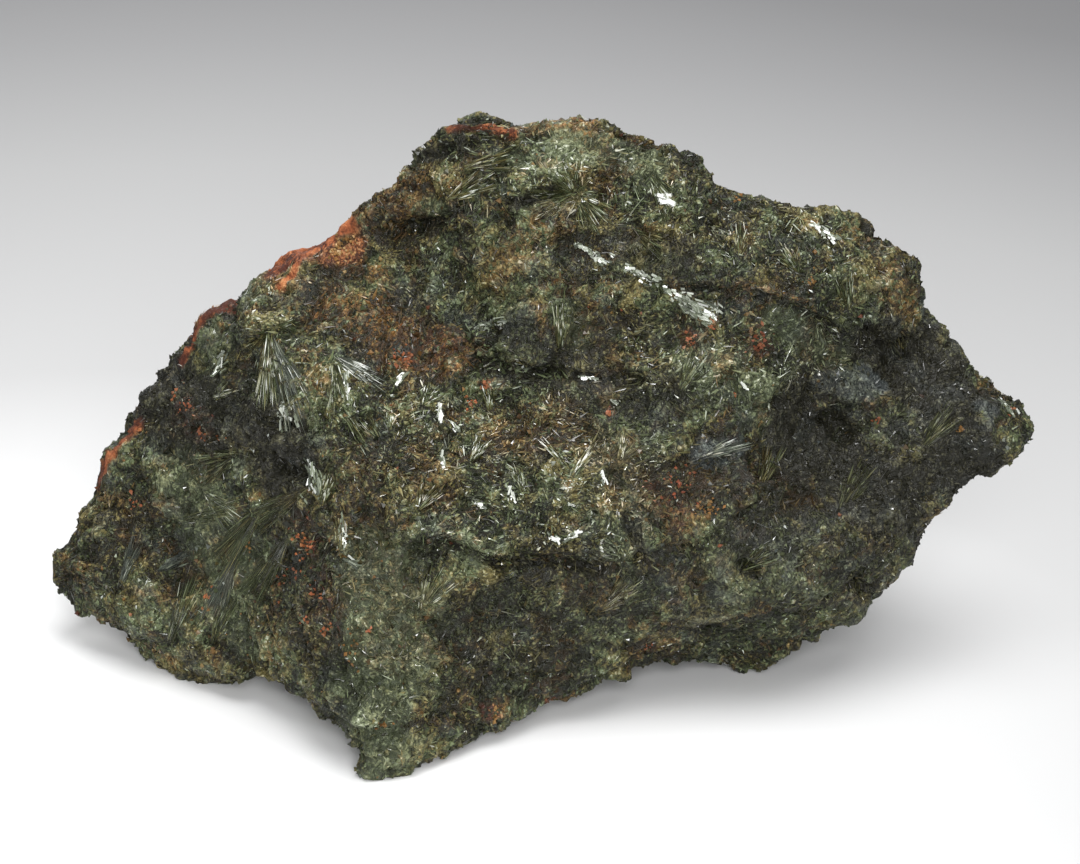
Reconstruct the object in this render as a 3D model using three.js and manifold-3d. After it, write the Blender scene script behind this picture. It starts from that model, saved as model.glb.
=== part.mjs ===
// Aegirine hand specimen: one broken lump of felted, dark green needle crystals.
//
// The lump is long from tip to tip, with a steep prow at its front left that carries the foot,
// a scooped hollow under the crest, an overhanging brow with a recess at the upper right, and a
// weathered back. It is a single natural piece, so it is a single closed solid.
//
// Millimetres, +X across to the right, +Y to the back, +Z up. The lump stands on z = 0.

import * as THREE from 'three';
import { ConvexHull } from 'three/addons/math/ConvexHull.js';
import { ImprovedNoise } from 'three/addons/math/ImprovedNoise.js';
import { mergeVertices } from 'three/addons/utils/BufferGeometryUtils.js';
import Module from 'manifold-3d';

// ---- driving dimensions -------------------------------------------------------------------------

// A point well inside the lump, from which all of its skin can be seen.
const CORE = new THREE.Vector3(0, 2, 25);

const LENGTH = 100;               // tip to tip
const SKIN_EDGE_STEPS = [24, 16, 11, 7.6, 5.4, 4.2, 3.05];  // edge lengths left by each splitting round
const EVENING_PASSES = 4;         // rounds that even out the triangles along the skin
const SOFTENING_ANGLE = 0.035;    // radians over which the creases between landmarks are worn round

const FLOOR_CLEARING = 30;        // thickness of the block that trims the feet flat

// Felt relief: wavelength and height of each size of lump.
const FELT_LUMPS = [
  { wavelength: 17, height: 1.5 },
  { wavelength: 8.5, height: 1.0 },
  { wavelength: 4.6, height: 0.75 },
];

// Steps where the fibre bundles broke off, like thick shingles.
const STEP_SPACING = 7.5;
const STEP_HEIGHT = 1.2;
const STEP_DIRECTION = new THREE.Vector3(0.35, 0.25, 0.9).normalize();
const STEP_RISE_SHARE = 0.78;     // share of each step that is its slow slope
const STEP_WAVER = { wavelength: 13, amount: 1.4 };
const STEP_PATCH_SIZE = 16;       // the steps come and go over patches of this size

// ---- landmarks of the skin ----------------------------------------------------------------------
// Each is [across, back, up]. The lump is read as broad faces between these corners and edges.

const CREST = [
  [-54.5, 4, 6.5], [-51, 6, 8.5], [-48, 8, 9.5], [-47, 9, 14], [-45, 9, 18],
  [-42, 10, 23], [-39, 10, 28.5], [-35.5, 10, 33], [-32, 10, 36], [-25.5, 9, 41],
  [-19.5, 9, 45.5], [-13.5, 8, 50.5], [-9.5, 7, 55.5], [-6, 6, 57.5], [0, 6, 56],
  [4.5, 6, 57], [9.5, 6, 56.5], [15.5, 5, 54.5], [19.5, 5, 50], [26, 6, 48.5],
  [29.5, 6, 47], [34, 7, 44.5], [39, 6, 40], [39, 5, 36.5], [41, 5, 35],
  [43, 5, 32.5], [47, 4, 28.5], [51.5, 3, 27], [53, 2, 24.5],
];

const LOWER_EDGE = [
  [49.5, 0, 22], [44, -2, 20.5], [42.5, -3, 18], [39.5, -3, 15], [36.5, -4.5, 11],
  [31.5, -4.5, 6], [25.5, -5, 3.5], [21.5, -3, -0.5], [15.5, -6.5, 2], [10, -9.5, 2.5],
  [5.5, -13, 2.5], [2, -15.5, 1.5], [-2, -18, 1], [-9.5, -22.5, 0.5], [-14, -25.5, -0.5],
  [-17.5, -24.5, 1], [-19.5, -22, 3], [-24, -17, 3.5], [-30, -11, 2], [-34.5, -7, 0.5],
  [-38.5, -4, -1.5], [-41.5, -2, 0], [-45, 0, 2.5], [-50, 2, 4.5],
];

const LEFT_FACE = [
  [-43, 1, 13.5], [-39.5, 2, 20], [-36, 2, 27.5], [-32, 3, 33], [-42, -2, 6.5],
  [-34, -7, 9.5], [-34, -3, 19], [-29, -4, 30], [-27, -9, 21.5], [-26.5, -13, 10.5],
  [-23.5, -16.5, 7.5],
];

const PROW_RIDGE = [
  [-29, 4, 37.5], [-25, -5.5, 33], [-23.5, -11, 28], [-21.5, -15.5, 24],
  [-20, -19.5, 20], [-19.5, -22.5, 13], [-18.5, -24, 7],
];

const UPPER_FRONT = [
  [-21, 7, 42.5], [-24, 4, 37.5], [-9, 4, 52.5], [-3, 4.5, 53.5], [-16, 5, 46],
  [-9, 1.5, 49], [-3, 0.5, 50], [0, -2, 40], [6, -0.5, 44], [2, 1, 47.5],
  [10, 2, 50.5], [6, 4.5, 53.5], [11, -3.5, 41],
];

const SCOOPED_HOLLOW = [
  [-14, 3.5, 41.5], [-9, 3, 43.5], [-5, 1.5, 44], [-5.5, 0, 39.5], [-16, 0, 37],
  [-10, -1.5, 36],
];

const CENTRE_FRONT = [
  [-13.5, -8.5, 32.5], [-18.5, -10, 30], [-6, -8, 32], [2, -7, 34], [8, -8, 32],
  [15.5, -4.5, 38], [0, -12.5, 27.5],
];

const BROW = [
  [15.5, -1.5, 45.5], [21.5, -1, 46], [29.5, 0.5, 43.5], [36.5, 2, 39.5],
  [19.5, -4.5, 42], [25.5, -4.5, 39.5], [32, -1.5, 36.5], [22, 4, 49],
];

const RECESS = [
  [20.5, -5, 37.5], [25.5, -4, 34.5], [31, -1.5, 32], [34.5, 4, 32], [38.5, 2.5, 31],
];

const RIGHT_FLANK = [
  [36, -1.5, 28.5], [42, 0, 26.5], [47, 0.5, 25], [39, -3, 22], [29, -4, 26],
  [25, -5, 29], [31, -6.5, 21.5], [19.5, -10, 29.5], [13.5, -11, 28], [17.5, -13, 21],
  [23.5, -12.5, 16.5], [31, -9.5, 16], [36, -6, 18.5],
];

const BELLY = [
  [-16.5, -18.5, 24], [-11.5, -17.5, 25.5], [-6, -17.5, 23.5], [0, -17, 21.5],
  [6, -16, 20], [11, -14.5, 18.5],
];

const LOWER_FRONT = [
  [-13.5, -21.5, 17], [-8, -19, 14], [-2, -17, 10.5], [6, -14, 11], [14, -12.5, 12.5],
  [20, -11.5, 10.5], [26, -9.5, 11], [-15.5, -23.5, 11.5], [-15.5, -25, 5.5], [-10.5, -22.5, 7],
  [-4, -19, 6], [2, -15.5, 6.5], [8, -12, 6], [16, -9, 5.5], [22.5, -7, 5],
  [28, -7.5, 8], [33.5, -6.5, 12.5],
];

const BACK = [
  [-42, 15, 18], [-34, 18, 27], [-24, 20, 34], [-13, 19, 43], [-3, 17, 49],
  [8, 17, 49], [17, 15, 44], [27, 15, 40], [35, 14, 34], [42, 10, 28],
  [-46, 12, 9], [-38, 20, 15], [-27, 25, 22], [-14, 26, 30], [-2, 25.5, 36],
  [10, 25, 34], [22, 22, 29], [33, 19, 22], [42, 12, 20],
  [-43, 12, 3], [-35, 21, 5], [-23, 26, 8], [-9, 28, 12], [5, 27, 14],
  [17, 25, 12], [27, 19, 10], [36, 12, 12],
];

const UNDERSIDE = [
  [-38, 14, -1.5], [-26, 20, -0.5], [-10, 23, 1], [4, 22, 1], [16, 19, -0.5],
  [25, 13, 3], [28, 5, 5], [-30, 4, 1], [-15, -5, 2], [0, 5, 2.5],
  [12, 5, 1.5], [-8, -15, 2], [19, 8, 1],
];

const LANDMARKS = [
  ...CREST, ...LOWER_EDGE, ...LEFT_FACE, ...PROW_RIDGE, ...UPPER_FRONT, ...SCOOPED_HOLLOW,
  ...CENTRE_FRONT, ...BROW, ...RECESS, ...RIGHT_FLANK, ...BELLY, ...LOWER_FRONT, ...BACK,
  ...UNDERSIDE,
];

// ---- cracks and pits ----------------------------------------------------------------------------

// Open cracks: a line along the skin, with the crack's half width and depth.
const CRACKS = [
  { line: [[-17, 4, 44.5], [-12, 3, 45.5], [-7, 1, 47.5], [-2, 1, 48.5]], reach: 2.6, depth: 1.6 },
  { line: [[20, -4.5, 40], [25.5, -4.5, 38], [29, -3, 36.5], [32, -1, 35]], reach: 2.6, depth: 1.8 },
  { line: [[-8, -7, 33.5], [-3, -7, 33], [2, -7, 33.5], [6, -6, 35]], reach: 2.8, depth: 1.4 },
  { line: [[-8, -17, 21], [-3, -17, 19.5], [2, -16, 19], [7, -15, 18]], reach: 2.6, depth: 1.2 },
  { line: [[-32, 20, 24], [-18, 24, 31], [-5, 23, 40], [5, 20, 45]], reach: 3.4, depth: 1.8 },
  { line: [[-2, 28, 13], [9, 26, 18], [21, 22, 20], [32, 18, 25]], reach: 3.2, depth: 1.8 },
];

// Pits: centre on the skin, reach and depth.
const PITS = [
  { at: [21, -11, 15.5], reach: 2.8, depth: 1.4 },
  { at: [32, -8, 12.5], reach: 2.6, depth: 1.3 },
  { at: [27, -5, 29.5], reach: 3.2, depth: 1.5 },
  { at: [34, 3, 31.5], reach: 3.6, depth: 1.8 },
  { at: [-12, 27, 19], reach: 6.5, depth: 2.4 },
  { at: [20, 23, 25], reach: 5.5, depth: 2.0 },
  { at: [-36, 19, 13], reach: 5.0, depth: 1.8 },
];

// Broad bumps: centre on the skin, reach and height.
const BUMPS = [
  { at: [-20, 26, 12], reach: 8, height: 2.0 },
  { at: [5, 27, 27], reach: 7, height: 1.8 },
  { at: [28, 18, 31], reach: 7, height: 1.6 },
  { at: [-22, 20, 36], reach: 7, height: 1.6 },
  { at: [12, 25, 9], reach: 6, height: 1.5 },
];

// ---- crystal sprays -----------------------------------------------------------------------------
// Sheaves of needles that stand a little proud of the felt: ribs fan out from a root, rise along
// their length and end in a broken step.

const SPRAYS = [
  { root: [-27, 0, 36], towards: [-26, -6, 28], fan: 1.3, ribs: 4, length: 9, rise: 1.3 },
  { root: [-21, -2, 35], towards: [-14, -6, 32.5], fan: 0.8, ribs: 3, length: 7, rise: 1.2 },
  { root: [2, 2, 48], towards: [-5, 0, 43.5], fan: 1.2, ribs: 4, length: 10, rise: 1.2 },
  { root: [9, -1, 44], towards: [18, -4, 40], fan: 0.45, ribs: 2, length: 10, rise: 1.5 },
  { root: [12, 2, 50], towards: [16, 0, 48], fan: 1.0, ribs: 2, length: 5, rise: 1.0 },
  { root: [25, 3, 47.5], towards: [32, 1, 43], fan: 0.7, ribs: 2, length: 8, rise: 1.0 },
  { root: [0, -9, 31], towards: [5, -13, 25], fan: 1.6, ribs: 4, length: 8, rise: 1.1 },
  { root: [-22, -12, 28], towards: [-21, -16, 22], fan: 0.8, ribs: 2, length: 7, rise: 1.2 },
  { root: [-38, -1, 17], towards: [-35, -7, 6], fan: 0.9, ribs: 4, length: 12, rise: 1.2 },
  { root: [18, -13, 20], towards: [25, -10, 11], fan: 0.9, ribs: 3, length: 10, rise: 1.0 },
  { root: [-8, 26, 28], towards: [4, 27, 20], fan: 1.3, ribs: 5, length: 12, rise: 1.5 },
  { root: [18, 19, 40], towards: [12, 24, 32], fan: 1.1, ribs: 4, length: 10, rise: 1.3 },
  { root: [-32, 21, 24], towards: [-27, 26, 13], fan: 1.0, ribs: 4, length: 11, rise: 1.3 },
];
const SPRAY_STEP = 1.8;           // run over which a spray's broken end drops back to the felt

// ---- skin over the landmarks --------------------------------------------------------------------

/** Triangles between neighbouring landmarks, as seen from the core: points and corner numbers. */
function landmarkSkin() {
  const points = LANDMARKS.map((landmark) => new THREE.Vector3(...landmark).sub(CORE));
  const directions = points.map((point) => point.clone().normalize());
  const numbers = new Map(directions.map((direction, number) => [direction, number]));
  const hull = new ConvexHull().setFromPoints(directions);
  const triangles = hull.faces.map((face) => (
    [face.edge, face.edge.next, face.edge.next.next].map((edge) => numbers.get(edge.head().point))
  ));
  return { points, triangles };
}

/** Split every edge longer than the limit at its middle. */
function splitLongEdges({ points, triangles }, limit) {
  const middles = new Map();
  const grown = [...points];
  const middleOf = (first, second) => {
    if (points[first].distanceTo(points[second]) <= limit) {
      return null;
    }
    const key = Math.min(first, second) * points.length + Math.max(first, second);
    if (!middles.has(key)) {
      middles.set(key, grown.length);
      grown.push(points[first].clone().lerp(points[second], 0.5));
    }
    return middles.get(key);
  };
  const split = triangles.flatMap((corners) => {
    const cuts = corners.map((corner, side) => middleOf(corner, corners[(side + 1) % 3]));
    const cutCount = cuts.filter((cut) => cut !== null).length;
    if (cutCount === 0) {
      return [corners];
    }
    if (cutCount === 3) {
      const [first, second, third] = corners;
      const [low, far, near] = cuts;
      return [[first, low, near], [low, second, far], [near, far, third], [low, far, near]];
    }
    // Turn the triangle so that its first side is cut, and its last side is not.
    const turn = [0, 1, 2].find((side) => cuts[side] !== null && cuts[(side + 2) % 3] === null);
    const [first, second, third] = [0, 1, 2].map((side) => corners[(side + turn) % 3]);
    const low = cuts[turn];
    const far = cuts[(turn + 1) % 3];
    if (far === null) {
      return [[first, low, third], [low, second, third]];
    }
    const flat = grown[low].distanceTo(grown[third]);
    const steep = grown[first].distanceTo(grown[far]);
    return flat < steep
      ? [[low, second, far], [first, low, third], [low, far, third]]
      : [[low, second, far], [first, low, far], [first, far, third]];
  });
  return { points: grown, triangles: split };
}

/** For each point, the points that it shares an edge with. */
function neighbourLists(points, triangles) {
  const lists = points.map(() => new Set());
  for (const [first, second, third] of triangles) {
    lists[first].add(second).add(third);
    lists[second].add(third).add(first);
    lists[third].add(first).add(second);
  }
  return lists.map((list) => [...list]);
}

/** The middle of a set of points. */
function middleOfPoints(points) {
  const middle = new THREE.Vector3();
  points.forEach((point) => middle.add(point));
  return middle.divideScalar(points.length);
}

/** Makes a function that gives the distance from the core to the skin along a direction. */
function reachFinder({ points, triangles }) {
  const faces = triangles.map((corners) => corners.map((corner) => points[corner]));
  const ray = new THREE.Ray();
  const hit = new THREE.Vector3();
  return (direction) => {
    ray.direction.copy(direction);
    const met = faces.find(([first, second, third]) => (
      ray.intersectTriangle(first, second, third, false, hit)
    ));
    return met ? hit.length() : null;
  };
}

/** The same distance, averaged over a small ring so that the creases are worn round. */
function wornReach(direction, reachAlong) {
  const side = new THREE.Vector3(0, 0, 1).cross(direction).normalize();
  const rise = direction.clone().cross(side);
  const ringCount = 6;
  const reaches = [reachAlong(direction)];
  for (let index = 0; index < ringCount; index += 1) {
    const angle = (index / ringCount) * Math.PI * 2;
    const tilted = direction.clone()
      .addScaledVector(side, Math.cos(angle) * SOFTENING_ANGLE)
      .addScaledVector(rise, Math.sin(angle) * SOFTENING_ANGLE);
    reaches.push(reachAlong(tilted.normalize()));
  }
  const found = reaches.filter((reach) => reach !== null);
  return found.reduce((total, reach) => total + reach, 0) / found.length;
}

/** The smooth skin of the lump, in even triangles. */
function castSkin() {
  const coarse = landmarkSkin();
  const reachAlong = reachFinder(coarse);
  const fine = SKIN_EDGE_STEPS.reduce(splitLongEdges, coarse);
  const neighbours = neighbourLists(fine.points, fine.triangles);
  let points = fine.points;
  for (let pass = 0; pass < EVENING_PASSES; pass += 1) {
    const previous = points;
    points = previous.map((_, index) => {
      const middle = middleOfPoints(neighbours[index].map((other) => previous[other]));
      const direction = middle.clone().normalize();
      return direction.multiplyScalar(reachAlong(direction) ?? middle.length());
    });
  }
  const worn = points.map((point) => {
    const direction = point.clone().normalize();
    return direction.multiplyScalar(wornReach(direction, reachAlong)).add(CORE);
  });
  const geometry = new THREE.BufferGeometry().setFromPoints(worn);
  geometry.setIndex(fine.triangles.flat());
  geometry.computeVertexNormals();
  return geometry;
}

// ---- relief -------------------------------------------------------------------------------------

const noise = new ImprovedNoise();

/** Smooth noise between about -1 and 1 at one wavelength. */
function lumpiness(point, wavelength, shift) {
  return noise.noise(point.x / wavelength + shift, point.y / wavelength, point.z / wavelength - shift);
}

/** Height of the felt's lumps at a point. */
function feltRelief(point) {
  return FELT_LUMPS.reduce((height, lump, index) => (
    height + lumpiness(point, lump.wavelength, index * 7.3) * lump.height
  ), 0);
}

/** Height of the broken steps: a slow rise, then a short drop, along a warped direction. */
function stepRelief(point) {
  const waver = lumpiness(point, STEP_WAVER.wavelength, 3.1) * STEP_WAVER.amount;
  const along = point.dot(STEP_DIRECTION) / STEP_SPACING + waver;
  const phase = along - Math.floor(along);
  const rise = phase < STEP_RISE_SHARE
    ? 1 - phase / STEP_RISE_SHARE
    : (phase - STEP_RISE_SHARE) / (1 - STEP_RISE_SHARE);
  const patch = 0.55 + 0.9 * lumpiness(point, STEP_PATCH_SIZE, 9.7);
  return (rise - 0.5) * STEP_HEIGHT * THREE.MathUtils.clamp(patch, 0.15, 1);
}

/** Shortest distance from a point to a line of straight stretches. */
function distanceToLine(point, line) {
  const nearest = new THREE.Vector3();
  let shortest = Infinity;
  for (let index = 1; index < line.length; index += 1) {
    const stretch = new THREE.Line3(
      new THREE.Vector3(...line[index - 1]),
      new THREE.Vector3(...line[index]),
    );
    stretch.closestPointToPoint(point, true, nearest);
    shortest = Math.min(shortest, nearest.distanceTo(point));
  }
  return shortest;
}

/** A smooth dent profile: 1 at the middle, 0 past the given reach. */
function dent(distance, reach) {
  const inside = Math.max(0, 1 - distance / reach);
  return inside * inside * (3 - 2 * inside);
}

/** Depth of all cracks and pits at a point. */
function brokenDepth(point) {
  let depth = 0;
  for (const crack of CRACKS) {
    depth += dent(distanceToLine(point, crack.line), crack.reach) * crack.depth;
  }
  for (const pit of PITS) {
    depth += dent(point.distanceTo(new THREE.Vector3(...pit.at)), pit.reach) * pit.depth;
  }
  return depth;
}

/** Height of all broad bumps at a point. */
function bumpHeight(point) {
  return BUMPS.reduce((height, bump) => (
    height + dent(point.distanceTo(new THREE.Vector3(...bump.at)), bump.reach) * bump.height
  ), 0);
}

/** Height of one spray at a point: ribs that rise from the root and end in a broken step. */
function sprayHeight(point, spray) {
  const root = new THREE.Vector3(...spray.root);
  const outward = root.clone().sub(CORE).normalize();
  const heading = new THREE.Vector3(...spray.towards).sub(root).projectOnPlane(outward).normalize();
  const across = outward.clone().cross(heading);
  const reached = point.clone().sub(root);
  const distance = reached.length();
  if (distance > spray.length + SPRAY_STEP) {
    return 0;
  }
  const angle = Math.atan2(reached.dot(across), reached.dot(heading));
  const sector = dent(Math.abs(angle) / (spray.fan / 2), 1.35);
  const rib = 0.65 + 0.35 * Math.cos(angle / spray.fan * spray.ribs * Math.PI * 2);
  const along = Math.min(distance / spray.length, 1);
  const brokenEnd = Math.min(1, (spray.length + SPRAY_STEP - distance) / SPRAY_STEP);
  return spray.rise * sector * rib * along * brokenEnd;
}

/** Height of all sprays at a point. */
function sprayRelief(point) {
  return SPRAYS.reduce((height, spray) => height + sprayHeight(point, spray), 0);
}

/** Raise and cut the skin along its own normals. */
function roughen(geometry) {
  const position = geometry.attributes.position;
  const normal = geometry.attributes.normal;
  for (let index = 0; index < position.count; index += 1) {
    const point = new THREE.Vector3().fromBufferAttribute(position, index);
    const outward = new THREE.Vector3().fromBufferAttribute(normal, index);
    const height = feltRelief(point) + stepRelief(point) + sprayRelief(point)
      + bumpHeight(point) - brokenDepth(point);
    point.addScaledVector(outward, height);
    position.setXYZ(index, point.x, point.y, point.z);
  }
  geometry.deleteAttribute('normal');
  return geometry;
}

// ---- joining and trimming -----------------------------------------------------------------------

const wasm = await Module();
wasm.setup();

/** Turn a closed three.js geometry with shared vertices into a solid. */
function solidOf(geometry) {
  const bare = geometry.clone();
  bare.deleteAttribute('normal');
  bare.deleteAttribute('uv');
  const closed = mergeVertices(bare, 1e-4);
  return new wasm.Manifold(new wasm.Mesh({
    numProp: 3,
    vertProperties: new Float32Array(closed.attributes.position.array),
    triVerts: new Uint32Array(closed.index.array),
  }));
}

/** Turn a solid back into a three.js geometry. */
function geometryOf(solid) {
  const mesh = solid.getMesh();
  const geometry = new THREE.BufferGeometry();
  geometry.setAttribute('position', new THREE.BufferAttribute(mesh.vertProperties, 3));
  geometry.setIndex(new THREE.BufferAttribute(mesh.triVerts, 1));
  return geometry;
}

/** Block that takes away everything below the resting plane. */
function floorBlock() {
  const block = new THREE.BoxGeometry(LENGTH * 2, LENGTH * 2, FLOOR_CLEARING);
  block.translate(0, 0, -FLOOR_CLEARING / 2);
  return solidOf(block);
}

/** Put the origin under the middle of the lump, on the resting plane. */
function centreOnBase(geometry) {
  geometry.computeBoundingBox();
  const middle = geometry.boundingBox.getCenter(new THREE.Vector3());
  geometry.translate(-middle.x, -middle.y, -geometry.boundingBox.min.z);
  return geometry;
}

// ---- the specimen -------------------------------------------------------------------------------

const felt = solidOf(roughen(castSkin()));
const trimmed = felt.subtract(floorBlock());
const massGeometry = centreOnBase(geometryOf(trimmed));
massGeometry.computeVertexNormals();

const stone = new THREE.MeshStandardMaterial({
  name: 'aegirine stone',
  color: 0x4a5242,
  roughness: 0.62,
  metalness: 0,
});

const aegirineMass = new THREE.Mesh(massGeometry, stone);
aegirineMass.name = 'aegirine_mass';

const aegirine = new THREE.Group();
aegirine.name = 'aegirine';
aegirine.add(aegirineMass);

export default aegirine;
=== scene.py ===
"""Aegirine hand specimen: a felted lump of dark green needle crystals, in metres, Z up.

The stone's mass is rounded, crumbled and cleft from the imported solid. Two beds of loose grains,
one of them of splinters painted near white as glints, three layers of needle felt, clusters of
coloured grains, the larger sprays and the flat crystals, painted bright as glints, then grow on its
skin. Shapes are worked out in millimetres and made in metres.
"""

import sys
import itertools
import logging
import math
from dataclasses import dataclass, field
from enum import Enum

import bmesh
import bpy
import numpy as np
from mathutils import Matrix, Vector
from mathutils.bvhtree import BVHTree
from mathutils.kdtree import KDTree


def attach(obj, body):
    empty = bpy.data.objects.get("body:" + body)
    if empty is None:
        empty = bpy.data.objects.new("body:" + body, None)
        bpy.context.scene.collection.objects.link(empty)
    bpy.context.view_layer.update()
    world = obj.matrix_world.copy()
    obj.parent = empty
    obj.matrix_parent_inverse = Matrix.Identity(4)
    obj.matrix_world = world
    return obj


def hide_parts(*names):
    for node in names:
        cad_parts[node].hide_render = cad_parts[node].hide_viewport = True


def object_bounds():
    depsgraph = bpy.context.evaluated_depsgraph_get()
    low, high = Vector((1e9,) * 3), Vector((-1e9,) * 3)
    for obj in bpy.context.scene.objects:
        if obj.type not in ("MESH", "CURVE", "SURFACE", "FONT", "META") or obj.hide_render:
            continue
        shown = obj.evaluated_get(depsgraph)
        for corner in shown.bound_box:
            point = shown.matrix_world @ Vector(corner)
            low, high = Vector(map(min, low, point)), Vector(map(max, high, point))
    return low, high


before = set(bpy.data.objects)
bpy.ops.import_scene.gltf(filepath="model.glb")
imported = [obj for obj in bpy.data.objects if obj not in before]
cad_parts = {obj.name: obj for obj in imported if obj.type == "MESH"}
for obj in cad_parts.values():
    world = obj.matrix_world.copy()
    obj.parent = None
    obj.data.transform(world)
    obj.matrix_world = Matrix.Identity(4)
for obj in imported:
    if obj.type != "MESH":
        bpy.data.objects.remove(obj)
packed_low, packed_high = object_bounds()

log = logging.getLogger("aegirine")

MM = 0.001
NODE = "aegirine_mass"
BODY = "root"
BAKE_MAP = "OFBake"
# The stone's middle, in millimetres, that the faces of its mass are sorted around.
CORE = np.array([0.0, 2.0, 25.0])
# A shift that keeps the lattice's cells above zero, and how many chance values each kind has.
LATTICE_START = 1000.0
NOISE_VALUES = 8192
CELL_VALUES = 4096
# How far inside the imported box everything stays, in millimetres, and the least tone of a grain.
BOX_MARGIN = 0.01
DARKEST = 0.02

Mark = tuple[float, float]
Marks = tuple[Mark, ...]
Place = tuple[float, float, float]
Colour = tuple[float, float, float]
Ramp = tuple[tuple[float, Colour], ...]
Layers = dict[str, np.ndarray]
Socket = bpy.types.NodeSocket
Feed = Socket | float | Place


# ---- where things are ---------------------------------------------------------------------------


class Side(Enum):
    """A side that the stone is looked at from: the azimuth in degrees, with 0 the front."""

    FRONT = 0.0
    RIGHT = 90.0
    BACK = 180.0
    LEFT = 270.0


@dataclass(frozen=True)
class Outlook:
    """The eye on one side of the stone. Marks are millimetres across and up from the aim."""

    azimuth: float
    elevation: float = 25.0
    distance: float = 420.0
    aim: Place = (-0.2, 0.0, 24.7)

    def axes(self) -> tuple[Vector, Vector, Vector]:
        """The directions to the right, up and back towards the eye."""
        turn, rise = math.radians(self.azimuth), math.radians(self.elevation)
        right = Vector((math.cos(turn), math.sin(turn), 0.0))
        back = Vector((
            math.sin(turn) * math.cos(rise),
            -math.cos(turn) * math.cos(rise),
            math.sin(rise),
        ))
        return right, back.cross(right), back

    def eye(self) -> Vector:
        """The place of the eye."""
        return Vector(self.aim) + self.axes()[2] * self.distance

    def ray(self, across: float, up: float) -> tuple[Vector, Vector]:
        """The line of sight through a mark: its start and direction."""
        right, above, _ = self.axes()
        mark = Vector(self.aim) + right * across + above * up
        eye = self.eye()
        return eye, (mark - eye).normalized()


def unit(rows: np.ndarray) -> np.ndarray:
    """The rows scaled to length one."""
    return rows / np.maximum(np.linalg.norm(rows, axis=-1, keepdims=True), 1e-12)


def smooth_step(low: float, high: float, values: np.ndarray) -> np.ndarray:
    """Values eased from 0 at low to 1 at high."""
    t = np.clip((values - low) / (high - low), 0.0, 1.0)
    return t * t * (3.0 - 2.0 * t)


def laid_flat(rows: np.ndarray, normals: np.ndarray) -> np.ndarray:
    """The directions turned to lie along the skin, with length one."""
    return unit(rows - normals * np.sum(rows * normals, axis=1)[:, None])


def lattice_key(cells: np.ndarray, values: int) -> np.ndarray:
    """A lasting number under values, a power of two, for each row of whole numbers."""
    x, y, z = cells.T
    return (x * 73856093 ^ y * 19349663 ^ z * 83492791) & (values - 1)


def lattice_noise(points: np.ndarray, wavelength: float, seed: int) -> np.ndarray:
    """Smooth noise from -1 to 1.

    Args:
        points: rows of x, y and z in millimetres.
        wavelength: millimetres between one lattice value and the next.
        seed: picks the lattice's values.

    Returns:
        One value for each point.
    """
    values = np.random.default_rng(seed).uniform(-1.0, 1.0, NOISE_VALUES)
    cell = points / wavelength + LATTICE_START
    base = np.floor(cell).astype(np.int64)
    t = cell - base
    t = t * t * (3.0 - 2.0 * t)
    total = np.zeros(len(points))
    for corner in itertools.product((0, 1), repeat=3):
        share = np.prod(np.where(corner, t, 1.0 - t), axis=1)
        total += share * values[lattice_key(base + corner, NOISE_VALUES)]
    return total


def distance_to_line(points: np.ndarray, line: np.ndarray) -> np.ndarray:
    """How far points are from a line of straight runs.

    Args:
        points: rows of x, y and z.
        line: the places that the runs join.

    Returns:
        The distance from each point, in the same unit.
    """
    nearest = np.linalg.norm(points - line[0], axis=1)
    for a, b in itertools.pairwise(line):
        run = b - a
        along = np.clip((points - a) @ run / max(float(run @ run), 1e-9), 0.0, 1.0)
        gap = np.linalg.norm(points - (a + along[:, None] * run), axis=1)
        nearest = np.minimum(nearest, gap)
    return nearest


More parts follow.
